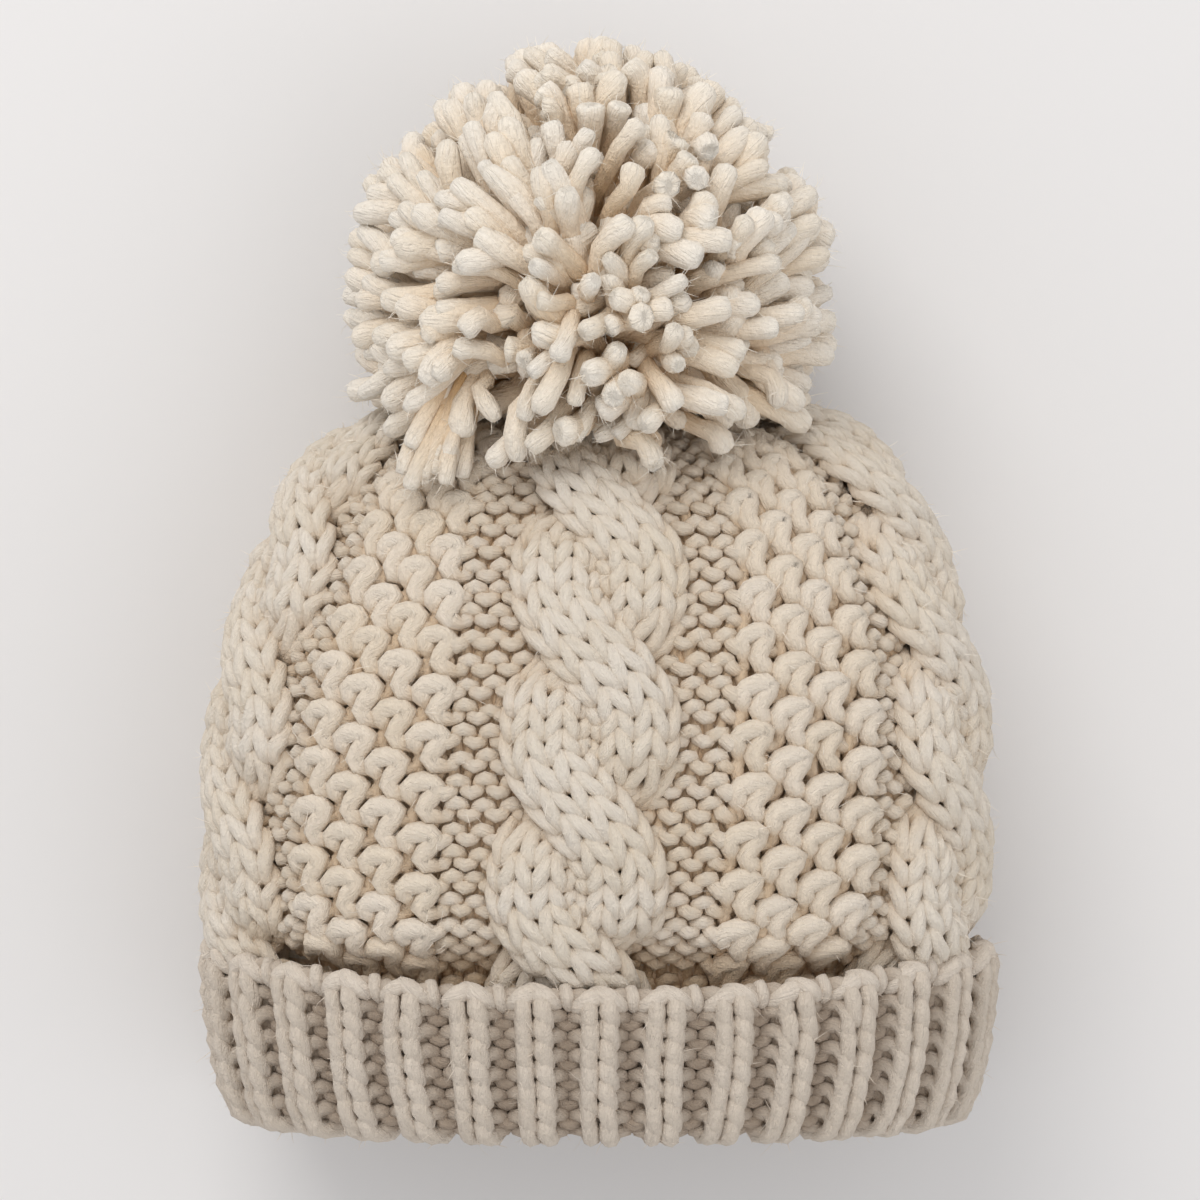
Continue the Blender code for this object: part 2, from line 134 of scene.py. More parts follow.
@dataclass(frozen=True)
class HatForm:
    """Sizes of the hat's plain form, as its solids have them."""

    body_width: float = 0.219
    body_depth: float = 0.127
    crown_length: float = 0.168
    cuff_height: float = 0.043
    inner_rib_height: float = 0.033
    brim_width: float = 0.192
    brim_depth: float = 0.1105
    wall: float = 0.007
    fold_slit: float = 0.0015
    stand_off: float = 0.0045
    belly: float = 0.0015
    body_drop: float = 0.030
    crown_start: float = -0.11885
    fold_y: float = -0.15215
    widest_at: float = 0.44
    upper_power: float = 2.15
    lower_power: float = 2.8
    back_flattening: float = 0.004
    round_below: float = 0.4
    oval_steps: int = 360
    sections: tuple = (
        (0.000, 0.902, 0.905, 0.000),
        (0.060, 0.917, 0.920, 0.000),
        (0.105, 0.968, 0.955, 0.000),
        (0.150, 0.992, 0.982, 0.000),
        (0.250, 1.000, 1.000, 0.000),
        (0.380, 1.000, 1.000, 0.000),
        (0.510, 0.984, 0.990, 0.000),
        (0.615, 0.948, 0.965, 0.000),
        (0.710, 0.902, 0.925, 0.000),
        (0.810, 0.842, 0.875, 0.012),
        (0.880, 0.785, 0.825, 0.060),
        (0.940, 0.700, 0.750, 0.140),
        (0.978, 0.570, 0.665, 0.245),
        (0.996, 0.330, 0.560, 0.325),
        (1.000, 0.150, 0.495, 0.372),
    )

    def body_curve(self) -> Array:
        """Rows of y, half width, top and bottom along a smooth curve through the sections."""
        scale = np.array([self.crown_length, self.body_width / 2, self.body_depth, self.body_depth])
        rows = np.array(self.sections) * scale
        padded = np.vstack([2 * rows[0] - rows[1], rows, 2 * rows[-1] - rows[-2]])
        curve = []
        for before, first, second, after in zip(padded, padded[1:], padded[2:], padded[3:]):
            for t in np.arange(16) / 16:
                bend = 2 * before - 5 * first + 4 * second - after
                cubic = 3 * first - before - 3 * second + after
                curve.append(0.5 * (2 * first + (second - before) * t + bend * t**2 + cubic * t**3))
        curve.append(rows[-1])
        table = np.array(curve)
        table[:, 0] += self.crown_start
        cuff_top = self.fold_y + self.cuff_height
        fade = 1.0 - smooth_step((table[:, 0] - cuff_top) / self.body_drop)
        table[:, 3] = np.maximum(table[:, 3], (self.wall + self.stand_off) * fade)
        return table

    def oval_form(self, half: Array, top: Array, bottom: Array) -> tuple:
        """Middle height, rise, drop and the two powers of an oval section."""
        full = smooth_step(half / (self.round_below * self.body_width / 2))
        middle = bottom + (0.5 + (self.widest_at - 0.5) * full) * (top - bottom)
        drop = middle - bottom + self.back_flattening * full
        upper = 2.0 + (self.upper_power - 2.0) * full
        lower = 2.0 + (self.lower_power - 2.0) * full
        return middle, top - middle, drop, upper, lower

    def ring(self, y: float, half: float, top: float, bottom: float, sides: int) -> Array:
        """Points round an oval section at even steps of its way round, from the top toward +X."""
        middle, rise, drop, upper, lower = self.oval_form(half, top, bottom)
        angle = np.linspace(0.0, 2.0 * math.pi, self.oval_steps + 1)
        across, up = np.sin(angle), np.cos(angle)
        power = np.where(up >= 0.0, upper, lower)
        x = half * np.sign(across) * np.abs(across) ** (2.0 / power)
        z = middle + np.where(up >= 0.0, rise, drop) * np.sign(up) * np.abs(up) ** (2.0 / power)
        z = np.maximum(z, bottom)
        way = np.concatenate([[0.0], np.cumsum(np.hypot(np.diff(x), np.diff(z)))])
        wanted = np.arange(sides) / sides * way[-1]
        points = np.full((sides, 3), y)
        points[:, 0] = np.interp(wanted, way, x)
        points[:, 2] = np.interp(wanted, way, z)
        return points

    def at_y(self, curve: Array, y: float) -> Array:
        """Half width, top and bottom of the body at a place along the hat."""
        return np.array([np.interp(y, curve[:, 0], column) for column in curve.T[1:]])

    def inner_rib(self, curve: Array, y: float) -> Array:
        """Half width, top and bottom of the rib's inner layer, on its outer face."""
        brim = np.array([self.brim_width / 2, self.brim_depth, self.wall + self.fold_slit])
        share = (y - self.fold_y) / self.inner_rib_height
        if share > 1.0:
            return self.at_y(curve, y)
        return brim + (self.at_y(curve, self.crown_start) - brim) * max(share, 0.0)

    def inside(self, curve: Array, points: Array, clearance: float) -> Array:
        """Whether points lie inside the body, grown by a clearance."""
        y = points[..., 1] - clearance
        half, top, bottom = (np.interp(y, curve[:, 0], column) for column in curve.T[1:])
        half, top, bottom = half + clearance, top + clearance, bottom - clearance
        middle, rise, drop, upper, lower = self.oval_form(half, top, bottom)
        above = points[..., 2] >= middle
        height = np.where(above, rise, drop)
        power = np.where(above, upper, lower)
        reach = np.abs(points[..., 0] / half) ** power
        reach = reach + np.abs((points[..., 2] - middle) / height) ** power
        return (reach < 1.0) & (y < curve[-1, 0])


@dataclass
class SurfaceGrid:
    """A closed round surface that yarn is laid on."""

    points: Array
    normals: Array
    girths: Array
    length: float

    @classmethod
    def from_rings(cls, rings: Array, rows: int) -> "SurfaceGrid":
        """Spaces rings evenly along the surface.

        Args:
            rings: Points round each ring, with the same count in each.
            rows: How many rings the grid keeps.

        Returns:
            The grid, with its normals to the right of its rows' way round.
        """
        steps = np.linalg.norm(np.diff(rings, axis=0), axis=2).mean(axis=1)
        way = np.concatenate([[0.0], np.cumsum(steps)])
        index = np.interp(np.linspace(0.0, way[-1], rows), way, np.arange(len(rings)))
        low = np.minimum(index.astype(int), len(rings) - 2)
        share = (index - low)[:, None, None]
        points = rings[low] * (1.0 - share) + rings[low + 1] * share
        along = np.gradient(points, axis=0)
        around = np.roll(points, -1, axis=1) - np.roll(points, 1, axis=1)
        girths = np.linalg.norm(np.roll(points, -1, axis=1) - points, axis=2).sum(axis=1)
        return cls(points, unit(np.cross(around, along)), girths, float(way[-1]))

    def girth(self, v: Array) -> Array:
        """Way round the surface at a share along it."""
        place = np.clip(v, 0.0, 1.0) * (len(self.points) - 1)
        return np.interp(place, np.arange(len(self.girths)), self.girths)

    def at(self, u: Array, v: Array, height: Array) -> Array:
        """Points over the surface.

        Args:
            u: Turns round it.
            v: Share of its length along it; beyond its ends it runs straight on.
            height: Height over it.

        Returns:
            The points.
        """
        rows, sides = self.points.shape[:2]
        across = np.mod(u, 1.0) * sides
        along = v * (rows - 1)
        left = np.floor(across).astype(int)
        low = np.clip(np.floor(along).astype(int), 0, rows - 2)
        a = (across - left)[..., None]
        b = (along - low)[..., None]
        c = np.clip(b, 0.0, 1.0)
        left, right = left % sides, (left + 1) % sides
        place = (self.points[low, left] * (1 - a) + self.points[low, right] * a) * (1 - b)
        place = place + (self.points[low + 1, left] * (1 - a) + self.points[low + 1, right] * a) * b
        out = (self.normals[low, left] * (1 - a) + self.normals[low, right] * a) * (1 - c)
        out = out + (self.normals[low + 1, left] * (1 - a) + self.normals[low + 1, right] * a) * c
        return place + unit(out) * height[..., None]


@dataclass
class YarnMesh:
    """Lengths of yarn gathered into one mesh."""

    name: str
    sides: int = 7
    twist: float = 160.0
    lie_step: float = 0.37
    parts: list = field(default_factory=list)
    faces: list = field(default_factory=list)
    count: int = 0

    def lay(self, line: Array, radius: Array, tint: Array, painted_shade: Array, flat: float = 1.0) -> None:
        """Adds lengths of yarn with the same number of stations.

        Args:
            line: Middle lines, as lengths by stations by 3.
            radius: Radius at each station.
            tint: Shade of each length, or of each station.
            painted_shade: Share of painted shade at each station, more where it lies low in the knitting,
                from 0 to 1.
            flat: Height of its section as a share of its width.
        """
        lengths, stations = line.shape[:2]
        shape = (lengths, stations)
        radius = np.broadcast_to(radius, shape)
        tint = np.broadcast_to(tint, shape)
        painted_shade = np.broadcast_to(painted_shade, shape)
        tangent = unit(np.gradient(line, axis=1))
        first = np.where(np.abs(tangent[:, 0, 2:3]) < 0.8, [[0.0, 0.0, 1.0]], [[1.0, 0.0, 0.0]])
        up = np.empty_like(line)
        up[:, 0] = unit(first - tangent[:, 0] * (first * tangent[:, 0]).sum(-1, keepdims=True))
        for station in range(1, stations):
            along = tangent[:, station]
            moved = up[:, station - 1]
            up[:, station] = unit(moved - along * (moved * along).sum(-1, keepdims=True))
        side = np.cross(tangent, up)
        angle = 2.0 * math.pi * np.arange(self.sides) / self.sides
        ring = side[:, :, None] * np.cos(angle)[:, None] + up[:, :, None] * (np.sin(angle) * flat)[:, None]
        points = line[:, :, None] + ring * radius[:, :, None, None]
        steps = np.linalg.norm(np.diff(line, axis=1), axis=2)
        way = np.concatenate([np.zeros((lengths, 1)), np.cumsum(steps, axis=1)], axis=1)
        turned = angle[None, None] + (way * self.twist)[..., None]
        offset = np.arange(lengths)[:, None, None] * self.lie_step
        down = np.broadcast_to(way[..., None] * LIE_PER_METRE + offset, turned.shape)
        lie = np.stack([np.cos(turned), np.sin(turned), down], axis=-1)
        ends = line[:, [0, -1]]
        end_lie = np.zeros((lengths, 2, 3))
        end_lie[..., 2] = down[:, [0, -1], 0]
        total = lengths * stations * self.sides
        self.parts.append(
            (
                np.concatenate([points.reshape(-1, 3), ends.reshape(-1, 3)]),
                np.concatenate([lie.reshape(-1, 3), end_lie.reshape(-1, 3)]),
                np.concatenate([np.repeat(tint.ravel(), self.sides), tint[:, [0, -1]].ravel()]),
                np.concatenate([np.repeat(painted_shade.ravel(), self.sides), painted_shade[:, [0, -1]].ravel()]),
            )
        )
        grid = np.arange(total).reshape(lengths, stations, self.sides)
        beside = np.roll(grid, -1, axis=2)
        quads = np.stack([grid[:, :-1], beside[:, :-1], beside[:, 1:], grid[:, 1:]], axis=-1)
        self.faces.append(quads.reshape(-1, 4) + self.count)
        tips = total + np.arange(lengths * 2).reshape(lengths, 2)
        for end, order in ((0, -1), (1, 1)):
            rim, rim_beside = grid[:, -end], beside[:, -end]
            tip = np.broadcast_to(tips[:, end, None], rim.shape)
            fan = np.stack([rim, rim_beside, tip][::order], axis=-1)
            self.faces.append(fan.reshape(-1, 3) + self.count)
        self.count += total + lengths * 2

    def build(self, node: str, slot: str, material: Material) -> None:
        """Makes the mesh and sets it on the hat in place of a solid.

        Args:
            node: The solid that it stands for.
            slot: The record's name of its finish; not used.
            material: Its material.
        """
        points, lie, tint, painted_shade = (np.concatenate(column) for column in zip(*self.parts))
        mesh = new_mesh(self.name, points, self.faces)
        mark_wool(mesh, lie, tint, painted_shade)
        dress(mesh, node, material)


def new_mesh(name: str, points: Array, faces: list[Array]) -> bpy.types.Mesh:
    """A smooth mesh from points and arrays of faces."""
    mesh = bpy.data.meshes.new(name)
    corners = np.concatenate([part.ravel() for part in faces])
    sizes = np.concatenate([np.full(len(part), part.shape[1]) for part in faces])
    mesh.vertices.add(len(points))
    mesh.vertices.foreach_set("co", points.astype(np.float32).ravel())
    mesh.loops.add(len(corners))
    mesh.loops.foreach_set("vertex_index", corners.astype(np.int32))
    mesh.polygons.add(len(sizes))
    mesh.polygons.foreach_set("loop_start", (np.cumsum(sizes) - sizes).astype(np.int32))
    mesh.update(calc_edges=True)
    mesh.shade_smooth()
    return mesh


def mark_wool(mesh: bpy.types.Mesh, lie: Array, tint: Array, painted_shade: Array) -> None:
    """Stores how the wool lies, its tint and its share of painted shade at each point of a mesh.

    Args:
        mesh: The mesh.
        lie: Place on the yarn at each point: round it as two numbers, and along it.
        tint: Shade at each point, paler as it rises.
        painted_shade: Share of painted shade at each point, more where it lies low in the knitting, from 0
            to 1.
    """
    lies = mesh.attributes.new("lie", "FLOAT_VECTOR", "POINT")
    lies.data.foreach_set("vector", lie.astype(np.float32).ravel())
    for label, values in (("tint", tint), ("painted_shade", painted_shade)):
        attribute = mesh.attributes.new(label, "FLOAT", "POINT")
        attribute.data.foreach_set("value", values.astype(np.float32).ravel())


def pressed(line: Array, radius: Array) -> Array:
    """Yarn pressed flat where it would go below the surface that the hat lies on."""
    line = line.copy()
    line[..., 2] = np.maximum(line[..., 2], radius + 0.12 * (line[..., 2] + 4.0 * MM))
    return line


def into_scene(name: str, data: bpy.types.ID) -> bpy.types.Object:
    """A new object in the scene, made from its data."""
    obj = bpy.data.objects.new(name, data)
    bpy.context.scene.collection.objects.link(obj)
    return obj


def dress(mesh: bpy.types.Mesh, node: str, material: Material) -> None:
    """Sets a mesh on the hat with its finish, in place of a solid."""
    obj = into_scene(mesh.name, mesh)
    mesh.materials.append(material)
    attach(obj, "root")
    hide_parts(node)
    mesh.calc_loop_triangles()
    LOG.info("%s: %d triangles", mesh.name, len(mesh.loop_triangles))


class Wool(Enum):
    """The record's names of the four wool finishes."""

    CROWN = "crown_wool"
    CUFF = "cuff_wool"
    POMPOM = "pompom_wool"
    TIE = "tie_wool"


@dataclass
class Wiring:
    """Adds nodes to a tree, with their values and links."""

    tree: bpy.types.NodeTree

    @classmethod
    def group(cls, name: str, inputs: dict[str, str], outputs: dict[str, str]) -> "Wiring":
        """A new shader node group, with the kinds of its sockets by their names."""
        tree = bpy.data.node_groups.new(name, "ShaderNodeTree")
        for sockets, way in ((inputs, "INPUT"), (outputs, "OUTPUT")):
            for label, kind in sockets.items():
                tree.interface.new_socket(label, in_out=way, socket_type="NodeSocket" + kind)
        return cls(tree)

    def add(self, kind: str, inputs: dict, **settings: object) -> bpy.types.NodeOutputs:
        """Adds a node.

        Args:
            kind: Its type, without the words before it.
            inputs: A value, or an output to link, for each input by name or number.
            settings: Its own settings, such as its operation.

        Returns:
            Its outputs.
        """
        node = self.tree.nodes.new("ShaderNode" + kind)
        for name, value in settings.items():
            setattr(node, name, value)
        self.feed(node.inputs, inputs)
        return node.outputs

    def feed(self, sockets: bpy.types.NodeInputs, inputs: dict) -> None:
        """Gives sockets their values or links."""
        for name, value in inputs.items():
            if isinstance(value, bpy.types.NodeSocket):
                self.tree.links.new(value, sockets[name])
            else:
                sockets[name].default_value = value


@dataclass(frozen=True)
class WoolFinish:
    """Undyed wool yarn: pale where it stands out, with warm painted shade where it lies low."""

    light: tuple = (0.94, 0.855, 0.745)
    middle: tuple = (0.85, 0.73, 0.565)
    # Colour of the painted shade, mixed in where the yarn lies low in the knitting.
    depth: tuple = (0.79, 0.52, 0.27)
    fibre_height: float = 0.75
    fibre_relief: float = 1.7 * MM
    fibre_scale: float = 4.6
    fibre_length: float = 0.35
    fine_times: float = 3.4
    fine_share: float = 0.4
    lump_scale: float = 420.0
    lump_share: float = 1.1
    cloud_scale: float = 38.0
    mottle: float = 0.5
    streak_share: float = 0.7
    roughness: float = 0.88
    sheen: float = 0.12
    specular: float = 0.2

    def fibres(self) -> bpy.types.NodeTree:
        """The node group of fine fibres that run along the yarn and wind round it."""
        found = bpy.data.node_groups.get("wool fibres")
        if found:
            return found
        inputs = {"Lie": "Vector", "Scale": "Float"}
        wiring = Wiring.group("wool fibres", inputs, {"Streak": "Float", "Height": "Float"})
        start = wiring.tree.nodes.new("NodeGroupInput").outputs
        end = wiring.tree.nodes.new("NodeGroupOutput").inputs
        stretch = {0: start["Lie"], 1: (1.0, 1.0, self.fibre_length)}
        lie = wiring.add("VectorMath", stretch, operation="MULTIPLY")[0]
        grain = {"Vector": lie, "Scale": start["Scale"], "Detail": 3.0, "Roughness": 0.6}
        coarse = wiring.add("TexNoise", grain)["Fac"]
        fine_scale = wiring.add("Math", {0: start["Scale"], 1: self.fine_times}, operation="MULTIPLY")
        fine = wiring.add("TexNoise", {"Vector": lie, "Scale": fine_scale[0], "Detail": 2.0})["Fac"]
        place = wiring.add("TexCoord", {})["Object"]
        knots = {"Vector": place, "Scale": self.lump_scale, "Detail": 3.0, "Roughness": 0.65}
        lumps = wiring.add("TexNoise", knots)["Fac"]
        parts = {0: fine, 1: self.fine_share, 2: coarse}
        mixed = wiring.add("Math", parts, operation="MULTIPLY_ADD")[0]
        parts = {0: lumps, 1: self.lump_share, 2: mixed}
        lumpy = wiring.add("Math", parts, operation="MULTIPLY_ADD")[0]
        wiring.feed(end, {"Height": lumpy, "Streak": coarse})
        return wiring.tree

    def shades(self) -> bpy.types.NodeTree:
        """The node group that picks the wool's colour from its tint, its fibres and its painted shade."""
        found = bpy.data.node_groups.get("wool shades")
        if found:
            return found
        inputs = dict.fromkeys(("Light", "Middle", "Depth"), "Color")
        inputs |= dict.fromkeys(("Tint", "Painted Shade", "Streak", "Mottle"), "Float")
        wiring = Wiring.group("wool shades", inputs, {"Colour": "Color"})
        start = wiring.tree.nodes.new("NodeGroupInput").outputs
        end = wiring.tree.nodes.new("NodeGroupOutput").inputs
        place = wiring.add("TexCoord", {})["Object"]
        haze = {"Vector": place, "Scale": self.cloud_scale, "Detail": 3.0}
        clouds = wiring.add("TexNoise", haze)["Fac"]
        spread = wiring.add("Math", {0: clouds, 1: start["Mottle"]}, operation="MULTIPLY")[0]
        share = wiring.add("Math", {0: spread, 1: start["Tint"]}, operation="ADD")[0]
        parts = {0: start["Streak"], 1: self.streak_share, 2: share}
        streaked = wiring.add("Math", parts, operation="MULTIPLY_ADD", use_clamp=True)[0]
        parts = {"Factor": streaked, "A": start["Middle"], "B": start["Light"]}
        face = wiring.add("Mix", parts, data_type="RGBA")["Result"]
        # Painted shade: mixes the shade colour in by its share.
        parts = {"Factor": start["Painted Shade"], "A": face, "B": start["Depth"]}
        sunk = wiring.add("Mix", parts, data_type="RGBA")["Result"]
        wiring.feed(end, {"Colour": sunk})
        return wiring.tree

    def material(self, name: str) -> Material:
        """The wool's material."""
        material = bpy.data.materials.new(name)
        material.use_nodes = True
        wiring = Wiring(material.node_tree)
        marks = ("lie", "tint", "painted_shade")
        lie, tint, painted_shade = (wiring.add("Attribute", {}, attribute_name=mark) for mark in marks)
        parts = {"Scale": self.fibre_scale, "Lie": lie["Vector"]}
        fibres = wiring.add("Group", parts, node_tree=self.fibres())
        colours = {"Light": self.light, "Middle": self.middle, "Depth": self.depth}
        parts = {label: (*colour, 1.0) for label, colour in colours.items()}
        parts |= {"Mottle": self.mottle, "Streak": fibres["Streak"]}
        parts |= {"Tint": tint["Fac"], "Painted Shade": painted_shade["Fac"]}
        shades = wiring.add("Group", parts, node_tree=self.shades())
        smoothest = self.roughness - 0.06
        roughest = min(self.roughness + 0.10, 1.0)
        parts = {"Value": fibres["Streak"], "To Min": smoothest, "To Max": roughest}
        rough = wiring.add("MapRange", parts)["Result"]
        parts = {"Strength": self.fibre_height, "Distance": self.fibre_relief}
        normal = wiring.add("Bump", parts | {"Height": fibres["Height"]})["Normal"]
        finish = {
            "Base Color": shades["Colour"],
            "Roughness": rough,
            "Normal": normal,
            "Sheen Weight": self.sheen,
            "Sheen Roughness": 0.6,
            "Specular IOR Level": self.specular,
        }
        wiring.feed(material.node_tree.nodes["Principled BSDF"].inputs, finish)
        return material


# The cuff is the same undyed yarn as the crown, painted darker all over as shade, since it lies in shade
# below the fold; its depth colour is the painted shade in its recesses.
SHADED_CUFF_FINISH = WoolFinish(
    light=(0.82, 0.72, 0.61),
    middle=(0.69, 0.585, 0.47),
    depth=(0.47, 0.36, 0.265),
)
# The pompom's depth colour is a golden painted shade, mixed in toward the roots of its strands.
POMPOM_FINISH = WoolFinish(
    light=(0.95, 0.885, 0.785),
    middle=(0.89, 0.765, 0.59),
    depth=(0.80, 0.50, 0.22),
    fibre_scale=3.4,
)


@dataclass(frozen=True)
class Loops:
    """How one loop of yarn runs: out at its feet, up its legs and round its head."""

    steps: int = 14
    left_neck: float = 0.24
    right_neck: float = 0.24
    purl_neck: float = 0.18
    bump_neck: float = 0.22
    bump_waist: float = 0.14
    bump_curl: float = 0.29
    bump_press: float = 0.20
    foot_drop: float = 0.06
    foot_reach: float = 1.3
    bump_leg: float = -0.50
    bump_shoulder: float = 1.0
    bump_head: float = 1.25
    bump_foot: float = 0.90
    lump_foot: float = 0.4
    plain_foot: float = -0.6
    depth: float = 1.6 * MM
    stations: tuple = (0.0, 26.0, 68.0, 112.0, 180.0, 248.0, 292.0, 334.0, 360.0)

    def angles(self, stitches: int) -> Array:
        """The angle along the yarn at each station of a run of stitches."""
        return np.arange(stitches * self.steps + 1) / self.steps * 2.0 * math.pi

    def run(self, angles: Array, own: Array, above: Array) -> tuple[Array, Array, Array]:
        """The shape of a run of loops.

        Args:
            angles: The angle along the yarn, one turn a stitch.
            own: The face of each stitch, 1 knit and -1 purl, as rows by stitches.
            above: The face of the stitch over each one.

        Returns:
            Place across in stitches, place along in loop heights, and height in depths.
        """
        count = own.shape[1]
        stitch = np.minimum((angles / (2.0 * math.pi)).astype(int), count - 1)
        turn = angles - stitch * 2.0 * math.pi
        along = -0.5 * np.cos(turn)[None]
        left = np.maximum(stitch - 1, 0)
        right = np.minimum(stitch + 1, count - 1)
        mine, over = own[:, stitch], above[:, stitch]
        bump = (mine > 0.0) & (over < 0.0)
        knit_neck = np.where(turn < math.pi, self.left_neck, self.right_neck)
        low = np.where(turn > math.pi, self.bump_curl, self.bump_waist)
        low = np.where(np.abs(turn - math.pi) > math.pi / 2.0, low, self.bump_neck)
        plain_neck = np.where(bump, low, self.purl_neck)
        neck = np.where((mine > 0.0) & (over > 0.0), knit_neck, plain_neck)
        across = angles / (2.0 * math.pi) + neck * np.sin(2.0 * turn)
        first = -(mine + own[:, left]) / 2.0
        last = -(mine + own[:, right]) / 2.0
        along = along * (1.0 - self.bump_press * bump * smooth_step((along - 0.05) / 0.4))
        mixed = own * above < 0.0
        near_end = np.where(turn < math.pi, mixed[:, left], mixed[:, right]) & mixed[:, stitch]
        away = np.minimum(turn, 2.0 * math.pi - turn)
        along = along - self.foot_drop * near_end * (1.0 - smooth_step(away / self.foot_reach))
        lump = (mine < 0.0) & (over > 0.0)
        leg = np.where(bump, self.bump_leg, mine)
        shoulder = np.where(bump, self.bump_shoulder, 0.62 * mine + 0.18 * over)
        head = np.where(bump, self.bump_head, -over)
        left_foot = np.where(lump, self.lump_foot, self.plain_foot * mine)
        right_foot = np.where(bump, self.bump_foot, left_foot)
        right_leg = np.where(bump, self.bump_shoulder, leg)
        heights = [first, left_foot, leg, shoulder, head, shoulder, right_leg, right_foot, last]
        height = eased(np.degrees(turn)[None], self.stations, heights)
        return across, along, height


def shaken(random: Random, shape: tuple, angles: Array) -> Array:
    """Small changes that run smoothly from stitch to stitch.

    Args:
        random: The source of the changes.
        shape: Rows by stitches.
        angles: The angle along the yarn of each station.

    Returns:
        The change at each station of each row, about -1 to 1.
    """
    values = random.normal(scale=0.5, size=(shape[0], shape[1] + 2))
    place = angles / (2.0 * math.pi) + 0.5
    low = np.minimum(place.astype(int), shape[1])
    share = smooth_step(place - low)
    return values[:, low] * (1.0 - share) + values[:, low + 1] * share


